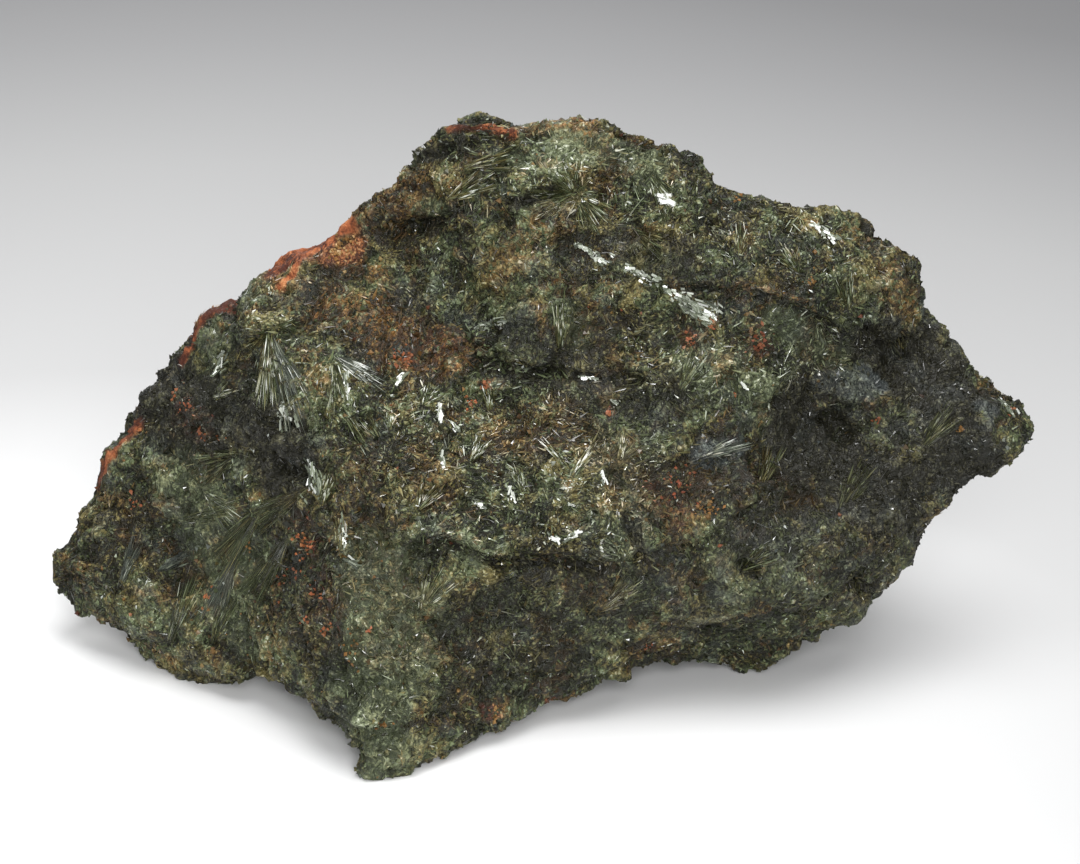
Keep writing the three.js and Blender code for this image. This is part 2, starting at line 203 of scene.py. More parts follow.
class Skin:
    """A closed mesh, in millimetres, that marks are cast on and needles grow from."""

    def __init__(self, mesh: bpy.types.Mesh) -> None:
        """Reads the mesh, which is in metres."""
        mesh.calc_loop_triangles()
        corners = np.empty(len(mesh.loop_triangles) * 3, np.int32)
        mesh.loop_triangles.foreach_get("vertices", corners)
        self.triangles = corners.reshape(-1, 3)
        self.points = vertex_places(mesh)
        a, b, c = (self.points[self.triangles[:, k]] for k in range(3))
        cross = np.cross(b - a, c - a)
        self.areas = np.linalg.norm(cross, axis=1) / 2.0
        self.normals = unit(cross)
        self.tree = BVHTree.FromPolygons(self.points.tolist(), self.triangles.tolist())

    def cast(self, outlook: Outlook, across: float, up: float) -> Vector | None:
        """The place on the skin that a mark falls on, or None past its edge."""
        start, direction = outlook.ray(across, up)
        return self.tree.ray_cast(start, direction)[0]

    def graze(self, outlook: Outlook, across: float, up: float) -> Vector | None:
        """Finds where a line of sight that misses the skin passes it.

        Args:
            outlook: the eye.
            across, up: the mark.

        Returns:
            The place on the skin nearest to the line, or None where it passes far off.
        """
        start, direction = outlook.ray(across, up)
        spot = start + direction * outlook.distance
        for _ in range(4):
            place = self.tree.find_nearest(spot)[0]
            spot = start + direction * (place - start).dot(direction)
        return place if (place - spot).length < 2.0 else None

    def cast_line(self, outlook: Outlook, marks: tuple[tuple[float, float], ...]) -> np.ndarray:
        """The places that a line of marks falls on. A mark just past the edge grazes it."""
        found = [self.cast(outlook, *mark) or self.graze(outlook, *mark) for mark in marks]
        return np.array([place for place in found if place is not None])

    def nearest(self, points: np.ndarray) -> tuple[np.ndarray, np.ndarray]:
        """Brings points to the skin.

        Args:
            points: rows of x, y and z in millimetres.

        Returns:
            The nearest place on the skin to each point, and its outward normal.
        """
        places, normals = [], []
        for point in points:
            place, normal, _, _ = self.tree.find_nearest(point)
            places.append(place)
            normals.append(normal)
        return np.array(places), np.array(normals)

    def scatter(
        self, count: int, rng: np.random.Generator, weights: np.ndarray | None = None
    ) -> tuple[np.ndarray, np.ndarray]:
        """Random places all over the skin.

        Args:
            count: how many places.
            rng: the source of chance.
            weights: how crowded each triangle is, or None for evenly.

        Returns:
            The places and the normals there.
        """
        share = self.areas if weights is None else self.areas * weights
        picks = rng.choice(len(share), count, p=share / share.sum())
        u, v = rng.random((2, count))
        over = u + v > 1.0
        u, v = np.where(over, 1.0 - u, u), np.where(over, 1.0 - v, v)
        a, b, c = (self.points[self.triangles[picks, k]] for k in range(3))
        places = a + u[:, None] * (b - a) + v[:, None] * (c - a)
        return places, self.normals[picks]


def vertex_places(mesh: bpy.types.Mesh) -> np.ndarray:
    """A mesh's vertices in millimetres."""
    flat = np.empty(len(mesh.vertices) * 3)
    mesh.vertices.foreach_get("co", flat)
    return flat.reshape(-1, 3) / MM


def kept_in_box(points: np.ndarray) -> np.ndarray:
    """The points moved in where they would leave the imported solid's box."""
    low, high = np.array(packed_low) / MM, np.array(packed_high) / MM
    return np.clip(points, low + BOX_MARGIN, high - BOX_MARGIN)


def on_sides(kind: type, rows: dict[Side, tuple]) -> tuple:
    """Things of one kind, from rows of their values listed under the side they are seen from."""
    return tuple(kind(*row, side=side) for side, group in rows.items() for row in group)


# ---- colour zones: stains, painted light and painted shade --------------------------------------


class StainAndPaintedLight(Enum):
    """A kind of colouring: a stain, painted light or painted shade. The value is the name of the
    attribute that carries it.
    """

    # Painted light: a slightly brighter tone where the top is lit, with more painted glints; the
    # felt there is also denser and more varied.
    LIGHT = "light"
    PALE = "pale"
    RUST = "rust"
    RED = "red"
    CRUST = "crust"
    # Painted shade: a darker tone and a dark brown-grey where shade falls, in hollows, clefts and
    # recesses.
    PAINTED_SHADE = "painted_shade"
    STEEL = "steel"
    CALM = "calm"


@dataclass(frozen=True)
class Patch:
    """A patch of stain, painted light or painted shade along a line of marks.

    Args:
        stain: the kind of colouring.
        marks: the line, as marks on the side.
        reach: how far it spreads from the line, in millimetres.
        strength: how full it is at the line: 1 is full, and painted shade may go a little deeper.
        ragged: how much its edge wanders, as a share of the reach.
        side: the side that the marks are on.
    """

    stain: StainAndPaintedLight
    marks: Marks
    reach: float
    strength: float
    ragged: float = 0.5
    side: Side = Side.FRONT


# Patches of stain, of painted light and of painted shade, by side and kind.
PATCH_ROWS = {
    (Side.FRONT, StainAndPaintedLight.CRUST): (
        (((-36.2, 11.6), (-33.6, 14.4)), 1.3, 1.0, 0.6),
        (((-38.0, 8.2), (-35.4, 12.0), (-32.4, 14.0)), 0.9, 1.0, 0.6),
        (((-44.0, -4.9), (-42.6, -2.4), (-40.8, 0.6)), 1.3, 1.0, 0.3),
        (((-26.8, 17.2), (-23.4, 19.2), (-19.6, 21.0)), 1.9, 1.0, 0.5),
        (((-23.6, 18.0), (-24.6, 16.0), (-25.9, 14.6)), 0.9, 1.0, 0.3),
        (((-21.0, 18.2), (-18.8, 18.4)), 1.5, 0.62, 0.6),
        (((-9.3, 30.6), (-5.5, 30.9), (-2.5, 30.2)), 0.6, 0.9, 0.5),
    ),
    (Side.FRONT, StainAndPaintedLight.PALE): (
        (((-31.0, 14.0), (-28.0, 15.5)), 1.8, 0.5),
        (((1.5, 29.0), (6.0, 28.6), (10.5, 27.0)), 2.4, 0.8),
        (((-4.5, 27.5), (1.5, 26.5)), 1.6, 0.6),
        (((-8.0, -11.2), (-6.0, -12.4)), 1.7, 0.9),
        (((6.5, -1.5), (7.5, -7.0), (9.0, -11.5)), 3.4, 0.3),
        (((-11.6, 22.8), (-10.4, 22.2)), 1.8, 0.6),
        (((24.0, 11.0), (29.5, 8.5), (32.0, 7.5)), 2.8, 0.7),
        (((17.0, 7.0), (24.0, 2.0)), 4.0, 0.5),
        (((-17.0, -14.0), (-15.5, -22.0), (-16.0, -30.0)), 6.0, 0.75),
        (((-36.0, -5.0), (-31.0, -14.0)), 5.0, 0.6),
        (((-34.0, -8.5), (-30.0, -9.5)), 2.4, 0.5),
        (((-34.0, -15.5), (-29.5, -21.5)), 2.6, 0.5),
        (((3.0, 12.0), (4.0, 9.5)), 2.0, 0.4),
    ),
    (Side.FRONT, StainAndPaintedLight.RUST): (
        (((-21.2, 18.4), (-18.6, 18.7)), 2.0, 1.0, 0.3),
        (((-19.5, 16.2), (-16.0, 16.0)), 1.5, 0.9),
        (((-20.5, 13.0), (-16.5, 11.8), (-14.5, 9.0), (-8.5, 7.6)), 3.2, 0.95),
        (((-12.0, -1.5), (-10.5, -5.5)), 3.0, 0.45),
        (((-3.5, 0.0), (2.0, 0.7), (5.5, -1.5)), 3.6, 0.55),
        (((-4.0, 17.0), (1.0, 21.0)), 3.0, 0.5),
        (((11.0, -7.0), (15.5, -5.0), (14.0, -9.0)), 3.8, 0.5),
        (((13.5, 14.2), (16.0, 14.4)), 1.0, 0.8),
        (((20.5, 14.6), (26.0, 13.4)), 1.1, 0.8),
        (((35.0, 15.5), (37.0, 13.0)), 2.6, 0.6),
        (((-2.0, 31.0), (1.0, 30.6), (5.0, 31.0)), 1.3, 0.9),
        (((9.5, 30.0), (13.0, 29.6)), 1.4, 0.6),
        (((-19.0, -4.0), (-15.0, -20.0)), 5.0, 0.3),
        (((-24.0, 12.5), (-19.5, 11.0)), 2.6, 0.55),
    ),
    (Side.FRONT, StainAndPaintedLight.RED): (
        (((15.0, 9.6), (15.2, 9.2)), 1.0, 1.0),
        (((22.0, 9.6), (23.2, 8.6)), 1.8, 0.45),
        (((17.2, 11.0), (17.3, 10.9)), 0.7, 0.9),
        (((7.0, 2.2), (7.1, 2.1)), 0.6, 1.0),
        (((-5.5, 4.8), (-5.5, 4.6)), 0.7, 0.9),
        (((11.5, -5.5), (13.5, -8.0)), 2.0, 0.25),
        (((1.0, -27.2), (1.1, -27.3)), 0.6, 0.9),
        (((-4.8, -28.4), (-4.2, -28.6)), 1.2, 0.7),
        (((-32.6, -16.8), (-32.3, -16.9)), 0.9, 0.8),
        (((-23.6, -11.4), (-23.4, -11.6)), 1.2, 0.8),
        (((19.6, -1.2), (19.8, -1.4)), 1.0, 0.6),
        (((-36.5, 2.5), (-34.5, 0.5)), 2.2, 0.25),
        (((-24.0, -9.5), (-22.5, -14.0), (-21.5, -19.0)), 2.6, 0.22),
        (((-13.0, 10.5), (-10.0, 9.0)), 2.0, 0.25),
    ),
    # Painted shade: the bowl and flank on the right, the recess under the brow, the lower front,
    # the left face and other hollows are darkened where shade falls.
    (Side.FRONT, StainAndPaintedLight.PAINTED_SHADE): (
        (((-25.0, -8.0), (-23.0, -20.0)), 5.5, 0.3),
        (((22.0, -10.0), (34.0, -12.0)), 8.0, 0.4),
        (((8.0, -1.5), (12.0, -6.0)), 4.5, 0.4),
        (((-39.0, 4.5), (-33.0, 1.0)), 5.5, 0.9),
        (((-28.5, 0.0), (-26.0, -4.0)), 5.4, 1.0),
        (((34.2, 8.5), (36.5, 5.5)), 3.4, 1.3),
        (((26.5, 0.5), (31.0, -4.0), (36.5, -6.5)), 5.5, 1.15),
        (((39.5, 6.0), (41.5, 0.0), (43.0, -4.0)), 5.5, 1.2),
        (((29.0, 3.0), (33.0, 3.0), (38.0, -6.0), (34.0, -13.0)), 10.0, 0.35),
        (((-5.0, -20.0), (12.0, -17.0), (28.0, -14.0)), 8.0, 0.25),
        (((5.0, 4.5), (12.0, 3.0)), 4.0, 0.5),
        (((8.0, 18.0), (14.0, 17.5)), 3.0, 0.45),
        (((-2.0, 10.0), (2.0, 7.5)), 3.0, 0.45),
    ),
    # Painted light: the crest, the middle and the underside of the brow are brightened where the
    # top is lit or its shade is lifted; the felt there is denser.
    (Side.FRONT, StainAndPaintedLight.LIGHT): (
        (((27.0, 10.5), (30.5, 9.0)), 3.4, 0.8),
        (((-13.5, 17.5), (-8.0, 15.5)), 4.5, 0.35),
        (((-14.0, 1.0), (-6.0, -1.0), (4.0, -2.0), (7.0, -4.0)), 7.5, 1.0),
        (((-10.0, -9.0), (0.0, -10.0), (8.0, -9.0)), 5.0, 0.8),
        (((-6.0, 27.0), (4.0, 26.0), (11.0, 25.0)), 5.5, 1.0),
        (((16.0, 21.0), (24.0, 21.0), (31.0, 17.0)), 5.5, 0.6),
        (((-28.5, 12.0), (-24.0, 8.0), (-19.0, 6.0)), 4.5, 0.5),
        (((12.0, 8.0), (21.0, 6.0), (30.0, 10.0)), 5.0, 0.8),
        (((-21.6, 18.6), (-18.8, 18.2)), 1.9, 1.0, 0.3),
        (((-17.0, -16.0), (-16.0, -28.0)), 5.0, 0.3),
    ),
    (Side.FRONT, StainAndPaintedLight.STEEL): (
        (((16.5, -2.4), (19.8, -1.6)), 1.7, 0.8, 0.35),
        (((28.5, 5.0), (33.0, 4.2)), 1.8, 0.5, 0.35),
        (((32.8, 5.8), (34.2, 4.8)), 1.3, 0.75, 0.35),
        (((44.5, 2.6), (45.5, 1.8)), 1.2, 0.6, 0.35),
    ),
    (Side.FRONT, StainAndPaintedLight.CALM): (
        (((48.0, -1.5), (42.0, -7.0), (38.0, -13.0), (30.0, -18.5)), 5.5, 0.9),
        (((-41.0, -2.0), (-34.0, 12.0), (-20.0, 20.5)), 3.5, 0.7),
        (((-27.0, -8.0), (-34.0, -14.0), (-38.0, -20.0)), 6.0, 0.8),
        (((6.0, -18.0), (20.0, -15.0), (30.0, -13.5)), 8.0, 0.9),
        (((28.0, -2.0), (40.0, -2.0)), 6.0, 0.5),
        (((-13.0, 16.5), (-4.0, 16.0)), 4.5, 0.6),
    ),
    (Side.BACK, StainAndPaintedLight.CRUST): (
        (((23.0, 11.0), (28.0, 7.0), (33.0, 2.0), (37.0, -3.0)), 4.4, 1.0),
        (((27.0, 1.0), (33.0, -6.0)), 3.4, 0.9),
    ),
    (Side.BACK, StainAndPaintedLight.RUST): (
        (((15.0, 22.0), (21.0, 10.0), (29.0, 0.0)), 5.0, 0.7),
        (((-10.0, 10.0), (-2.0, 4.0)), 5.0, 0.5),
        (((-25.0, 0.0), (-30.0, -8.0)), 4.0, 0.5),
        (((5.0, -12.0), (14.0, -15.0)), 4.0, 0.5),
    ),
    (Side.BACK, StainAndPaintedLight.RED): (
        (((12.0, 10.0), (12.3, 9.8)), 1.2, 0.8),
        (((-8.0, -10.0), (-7.6, -10.2)), 1.0, 0.8),
        (((26.0, -6.0), (26.3, -6.2)), 1.2, 0.7),
    ),
    (Side.BACK, StainAndPaintedLight.PALE): (
        (((0.0, 24.0), (8.0, 20.0)), 4.0, 0.7),
        (((-20.0, 10.0), (-14.0, 5.0)), 4.0, 0.6),
        (((20.0, -10.0), (24.0, -18.0)), 4.0, 0.5),
        (((-35.0, -5.0), (-30.0, -12.0)), 4.0, 0.5),
    ),
    # Painted shade in the back's hollows.
    (Side.BACK, StainAndPaintedLight.PAINTED_SHADE): (
        (((-12.0, -2.0), (0.0, -4.0), (10.0, 0.0)), 6.0, 0.6),
        (((-40.0, 2.0), (-34.0, -2.0)), 4.0, 0.6),
        (((30.0, -14.0), (36.0, -12.0)), 4.0, 0.6),
    ),
    (Side.BACK, StainAndPaintedLight.STEEL): (
        (((6.0, 4.0), (9.0, 5.0)), 1.8, 0.7),
        (((-24.0, -6.0), (-21.0, -5.0)), 1.8, 0.6),
    ),
    # Painted light on the back's upper parts.
    (Side.BACK, StainAndPaintedLight.LIGHT): (
        (((-5.0, 20.0), (5.0, 14.0), (12.0, 8.0)), 8.0, 0.9),
        (((-30.0, 5.0), (-20.0, 0.0)), 6.0, 0.6),
        (((10.0, -8.0), (0.0, -14.0)), 5.0, 0.5),
    ),
    (Side.RIGHT, StainAndPaintedLight.LIGHT): ((((6.0, 10.0), (14.0, 4.0)), 6.0, 0.7),),
    (Side.RIGHT, StainAndPaintedLight.PALE): ((((10.0, 8.0), (14.0, 2.0)), 4.0, 0.5),),
    (Side.RIGHT, StainAndPaintedLight.RUST): ((((6.0, 4.0), (12.0, -4.0)), 4.0, 0.5),),
    (Side.RIGHT, StainAndPaintedLight.STEEL): ((((4.0, -6.0), (7.0, -5.0)), 1.5, 0.6),),
    (Side.RIGHT, StainAndPaintedLight.RED): ((((8.0, 14.0), (8.2, 13.8)), 1.0, 0.7),),
    (Side.LEFT, StainAndPaintedLight.RUST): ((((-12.0, -6.0), (-16.0, -12.0)), 4.0, 0.6),),
    (Side.LEFT, StainAndPaintedLight.RED): ((((4.0, 4.0), (4.3, 3.8)), 1.2, 0.7),),
    (Side.LEFT, StainAndPaintedLight.PALE): ((((-4.0, -8.0), (2.0, -12.0)), 4.0, 0.5),),
    (Side.LEFT, StainAndPaintedLight.LIGHT): ((((-8.0, 2.0), (-14.0, -6.0)), 5.0, 0.6),),
}
PATCHES = tuple(
    Patch(stain, *row, side=side) for (side, stain), rows in PATCH_ROWS.items() for row in rows
)
WARMTH_MEAN = 0.31
WARMTH_SWING = 1.4
STRAY_MOST = {"rust": (0.55, 15), "steel": (0.22, 17)}


class Colouring:
    """Works out the stains, painted light and painted shade at any place, from patches cast on a
    skin.
    """

    def __init__(self, skin: Skin, patches: tuple[Patch, ...]) -> None:
        """Casts every patch on the skin."""
        cast = [(p, skin.cast_line(Outlook(p.side.value), p.marks)) for p in patches]
        self.lines = [(patch, line) for patch, line in cast if len(line)]
        log.info("patches: %d of %d on the skin", len(self.lines), len(patches))

    def at(self, points: np.ndarray) -> Layers:
        """Works out the stains.

        Args:
            points: rows of x, y and z in millimetres.

        Returns:
            The strength of each stain, and of the painted light and shade, at the points, by
            attribute name, and the warmth there.
        """
        found = {stain.value: np.zeros(len(points)) for stain in StainAndPaintedLight}
        wander = lattice_noise(points, 2.3, 11) * 0.6 + lattice_noise(points, 0.9, 12) * 0.5
        for patch, line in self.lines:
            gap = distance_to_line(points, line) + wander * patch.ragged * patch.reach
            fade = 1.0 - smooth_step(0.45 * patch.reach, patch.reach, gap)
            kept = found[patch.stain.value]
            found[patch.stain.value] = np.maximum(kept, fade * patch.strength)
        blotch = 0.5 * lattice_noise(points, 4.6, 13) + 0.7 * lattice_noise(points, 1.4, 14)
        found["warmth"] = np.clip(WARMTH_MEAN + WARMTH_SWING * blotch, 0.0, 1.0)
        for name, (most, seed) in STRAY_MOST.items():
            stray = lattice_noise(points, 2.2, seed) + 0.7 * lattice_noise(points, 0.8, seed + 1)
            found[name] = np.maximum(found[name], most * smooth_step(0.3, 0.7, stray))
        return found


GRAIN_RUNS = unit(np.array([[0.85, 0.25, -0.45], [0.2, 0.3, 0.93], [0.75, -0.35, 0.55]]))


def grain_run(points: np.ndarray) -> np.ndarray:
    """Which of the grain's runs each point lies in, by number."""
    pick = lattice_noise(points, 4.0, 50) + 0.4 * lattice_noise(points, 1.5, 55)
    return np.digitize(pick, (-0.14, 0.14))


def clump_tone(points: np.ndarray) -> np.ndarray:
    """Streaks along the grain that the ground and all on it share.

    Args:
        points: rows of x, y and z in millimetres.

    Returns:
        How light each point is, from -1 to 1.
    """
    run = grain_run(points)
    wave = np.zeros(len(points))
    for number, grain in enumerate(GRAIN_RUNS):
        squeezed = points - 0.74 * (points @ grain)[:, None] * grain
        streak = lattice_noise(squeezed, 1.1, 51 + number)
        streak += 0.7 * lattice_noise(squeezed, 0.5, 61 + number)
        wave = np.where(run == number, streak, wave)
    return np.tanh(1.6 * (wave + 0.7 * lattice_noise(points, 2.4, 58)))


# ---- meshes -------------------------------------------------------------------------------------


def linked(name: str, data: bpy.types.ID) -> bpy.types.Object:
    """A new object in the scene."""
    thing = bpy.data.objects.new(name, data)
    bpy.context.scene.collection.objects.link(thing)
    return thing


@dataclass
class Draft:
    """A mesh in the making, in millimetres.

    Args:
        vertices: rows of x, y and z.
        faces: rows of vertex numbers, three or four to a face.
        layers: a value for each vertex, by attribute name.
        places: a row for each face corner on the bake's map.
    """

    vertices: np.ndarray
    faces: np.ndarray
    layers: Layers
    places: np.ndarray

    def make(self, name: str, smooth: bool) -> bpy.types.Object:
        """Makes the object.

        Args:
            name: the piece's name.
            smooth: whether it is shaded smooth.

        Returns:
            The finished object, linked to the scene, riding with the stone.
        """
        mesh = bpy.data.meshes.new(name)
        count, sides = self.faces.shape
        mesh.vertices.add(len(self.vertices))
        mesh.vertices.foreach_set("co", (self.vertices * MM).ravel())
        mesh.loops.add(count * sides)
        mesh.loops.foreach_set("vertex_index", self.faces.ravel().astype(np.int32))
        mesh.polygons.add(count)
        mesh.polygons.foreach_set("loop_start", np.arange(count, dtype=np.int32) * sides)
        mesh.polygons.foreach_set("use_smooth", np.full(count, smooth))
        mesh.update(calc_edges=True)
        for key, values in self.layers.items():
            layer = mesh.attributes.new(key, "FLOAT", "POINT")
            layer.data.foreach_set("value", values.astype(np.float32))
        bake = mesh.uv_layers.new(name=BAKE_MAP)
        bake.uv.foreach_set("vector", self.places.astype(np.float32).ravel())
        thing = linked(name, mesh)
        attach(thing, BODY)
        return thing


def boxed_map(points: np.ndarray, faces: np.ndarray) -> np.ndarray:
    """Lays a lump's faces out on six squares, by the way each looks from the core.

    Args:
        points: rows of x, y and z in millimetres.
        faces: rows of point numbers.

    Returns:
        A row for each face corner on the bake's map.
    """
    spokes = points[faces] - CORE
    centres = unit(points[faces].mean(axis=1) - CORE)
    axis = np.abs(centres).argmax(axis=1)
    ahead = centres[np.arange(len(faces)), axis] > 0.0

    def part(step: int) -> np.ndarray:
        """The face corners' reach along an axis, counted on from each face's main one."""
        pick = ((axis + step) % 3)[:, None, None].repeat(faces.shape[1], 1)
        return np.take_along_axis(spokes, pick, 2)

    flat = np.concatenate((part(1), part(2)), axis=2) / np.maximum(np.abs(part(0)), 1e-6)
    square = np.stack((axis, ahead.astype(int)), axis=1)
    places = (square[:, None, :] + 0.5 + 0.46 * flat) / np.array([3.0, 2.0])
    return places.reshape(-1, 2)


@dataclass(frozen=True)
class Facets:
    """How the corners of one kind of small closed crystal join up.

    Args:
        faces: rows of three corner numbers.
        spots: each corner's place in the crystal's own square of the bake's map.
        along: how far each corner is from the root, from 0 to 1.
    """

    faces: tuple[tuple[int, int, int], ...]
    spots: Marks
    along: tuple[float, ...]

    def draft(self, corners: np.ndarray, layers: Layers) -> Draft:
        """Many crystals of the kind.

        Args:
            corners: the places of each crystal's corners, crystal by crystal.
            layers: a value for each crystal, by attribute name.

        Returns:
            The draft, with an attribute "along".
        """
        count, size, _ = corners.shape
        pattern = np.array(self.faces)
        faces = (np.arange(count)[:, None, None] * size + pattern).reshape(-1, 3)
        spread = {key: np.repeat(values, size) for key, values in layers.items()}
        spread["along"] = np.tile(self.along, count)
        columns = math.ceil(math.sqrt(count))
        square = np.stack(np.divmod(np.arange(count), columns), axis=1)
        places = (square[:, None, None, :] + np.array(self.spots)[pattern]) / columns
        return Draft(corners.reshape(-1, 3), faces, spread, places.reshape(-1, 2))


NEEDLE = Facets(
    ((0, 1, 2), (0, 2, 3), (0, 3, 1), (1, 4, 2), (2, 4, 3), (3, 4, 1)),
    ((0.5, 0.2), (0.2, 0.45), (0.5, 0.5), (0.8, 0.45), (0.5, 0.8)),
    (0.0, 0.4, 0.4, 0.4, 1.0),
)
CHIP = Facets(
    ((0, 2, 4), (2, 1, 4), (1, 3, 4), (3, 0, 4), (2, 0, 5), (1, 2, 5), (3, 1, 5), (0, 3, 5)),
    ((0.2, 0.2), (0.8, 0.8), (0.8, 0.2), (0.2, 0.8), (0.5, 0.5), (0.5, 0.5)),
    (0.5,) * 6,
)
LATH = Facets(
    (
        (0, 1, 2), (0, 2, 3), (4, 6, 5), (4, 7, 6), (0, 5, 1), (0, 4, 5),
        (1, 6, 2), (1, 5, 6), (2, 7, 3), (2, 6, 7), (3, 4, 0), (3, 7, 4),
    ),
    (
        (0.3, 0.3), (0.7, 0.3), (0.7, 0.4), (0.3, 0.4),
        (0.3, 0.7), (0.7, 0.7), (0.7, 0.8), (0.3, 0.8),
    ),
    (0.7,) * 8,
)
WAIST = 0.4
RIDGE_HEIGHT = 0.9


def needle_draft(
    roots: np.ndarray,
    tips: np.ndarray,
    normals: np.ndarray,
    widths: np.ndarray,
    layers: Layers,
) -> Draft:
    """Slim closed crystals, each of six faces, with a sharp ridge on the side away from the stone.

    Args:
        roots: where each starts.
        tips: where each ends.
        normals: the way out of the stone at each.
        widths: each one's greatest width, in millimetres.
        layers: a value for each needle, by attribute name.

    Returns:
        The draft, with an attribute "along" from 0 at the root to 1 at the tip.
    """
    along = unit(tips - roots)
    side = unit(np.cross(along, normals))
    ridge = unit(np.cross(side, along))
    waist = roots + (tips - roots) * WAIST
    half = widths[:, None] * 0.5
    rise = ridge * half * RIDGE_HEIGHT
    corners = (roots, waist + side * half, waist + rise, waist - side * half, tips)
    return NEEDLE.draft(np.stack(corners, axis=1), layers)


def chip_draft(
    middles: np.ndarray, sizes: np.ndarray, rng: np.random.Generator, layers: Layers
) -> Draft:
    """Squat closed crumbs of eight faces, turned any way.

    Args:
        middles: where each is.
        sizes: how wide each is, in millimetres.
        rng: the source of chance.
        layers: a value for each crumb, by attribute name.

    Returns:
        The draft, with an attribute "along" of one half throughout.
    """
    count = len(middles)
    a = unit(rng.normal(size=(count, 3)))
    b = unit(np.cross(a, rng.normal(size=(count, 3))))
    c = np.cross(a, b)
    arms = np.stack((a, -a, b, -b, c, -c), axis=1)
    arms = arms * rng.uniform(0.25, 0.75, (count, 6, 1)) * sizes[:, None, None]
    return CHIP.draft(middles[:, None, :] + arms, layers)


# ---- the stone's mass ---------------------------------------------------------------------------


@dataclass(frozen=True)
class Cleft:
    """A crack or a step line cut along marks: its half width and depth in millimetres."""

    marks: Marks
    reach: float
    depth: float
    side: Side = Side.FRONT


CLEFTS = on_sides(Cleft, {
    Side.FRONT: (
        (((-13.0, 27.2), (-10.0, 28.4), (-7.0, 29.0)), 0.9, 1.2),
        (((-15.5, 19.8), (-12.0, 20.5), (-9.0, 22.2), (-3.0, 23.0), (2.0, 24.2)), 0.9, 1.1),
        (((-7.0, 7.2), (-3.5, 6.0), (2.0, 5.6)), 1.0, 1.4),
        (((4.0, 5.6), (9.5, 5.2)), 0.8, 0.9),
        (((-10.0, -10.9), (-4.0, -13.4), (2.0, -13.2), (6.0, -13.8)), 0.8, 1.0),
        (((22.0, 13.6), (26.0, 12.4), (30.0, 9.6), (32.0, 8.6)), 0.7, 1.0),
        (((14.0, 14.4), (18.0, 14.6)), 0.7, 0.9),
        (((33.0, 9.6), (36.5, 8.2)), 1.8, 1.8),
        (((29.0, 1.2), (31.0, -0.2)), 1.3, 1.2),
        (((24.0, 3.2), (24.6, 2.6)), 0.7, 1.4),
        (((-27.0, -3.5), (-24.0, -4.2)), 1.2, 0.9),
        (((-28.5, 1.2), (-25.5, 0.8)), 1.0, 0.8),
        (((20.5, -13.5), (21.5, -14.2)), 1.0, 1.4),
        (((9.0, -8.5), (10.2, -13.0)), 0.9, 0.9),
        (((31.5, -15.2), (33.0, -16.2)), 0.9, 1.2),
        (((0.5, 31.4), (0.3, 29.6)), 0.5, 1.2),
    ),
    Side.BACK: (
        (((-20.0, 12.0), (-12.0, 14.0), (-4.0, 12.0)), 0.9, 0.9),
        (((2.0, -2.0), (10.0, 1.0), (16.0, -1.0)), 1.0, 1.3),
        (((-34.0, -2.0), (-28.0, -6.0)), 0.9, 1.2),
        (((18.0, -12.0), (24.0, -10.0)), 0.9, 1.1),
        (((-6.0, 22.0), (0.0, 20.0)), 0.8, 1.0),
    ),
    Side.RIGHT: (
        (((5.0, 5.0), (9.0, 6.0), (14.0, 3.0)), 0.9, 1.3),
        (((5.0, -8.0), (11.0, -6.0)), 0.8, 1.0),
    ),
    Side.LEFT: (
        (((-14.0, -4.0), (-9.0, -3.0), (-6.0, -4.0)), 0.9, 1.0),
        (((-16.0, -8.0), (-10.0, -10.0)), 0.8, 1.1),
    ),
})


@dataclass(frozen=True)
class Swell:
    """A part of the front that is drawn out across and up the view, in millimetres."""

    mark: Mark
    reach: float
    push: tuple[float, float]


SWELLS = (
    Swell((-46.5, -10.0), 14.0, (-1.3, 0.2)),
    Swell((13.5, 28.0), 5.5, (0.8, 1.3)),
    Swell((36.5, 17.0), 6.0, (1.2, 0.8)),
)


@dataclass(frozen=True)
class Lumps:
    """One size of lump in the skin: the wavelength and height in millimetres."""

    wavelength: float
    height: float
    seed: int


CREVICE_WIDTH = 0.16


@dataclass(frozen=True)
class Chunks:
    """One size of broken block: its width, step and tilt, and the crevices between blocks."""

    width: float
    step: float
    tilt: float
    crevice: float
    seed: int

    def relief(self, points: np.ndarray) -> np.ndarray:
        """Works out the blocks' relief.

        Args:
            points: rows of x, y and z in millimetres.

        Returns:
            How far the blocks move each point out, in millimetres.
        """
        edge, offset, key = nearest_cell(points, self.width, self.seed)
        rng = np.random.default_rng(self.seed)
        steps = rng.uniform(-1.0, 1.0, CELL_VALUES)[key]
        slopes = rng.normal(size=(CELL_VALUES, 3))[key]
        height = self.step * steps + self.tilt * np.sum(slopes * offset, axis=1) / self.width
        return height - self.crevice * (1.0 - smooth_step(0.0, CREVICE_WIDTH, edge))


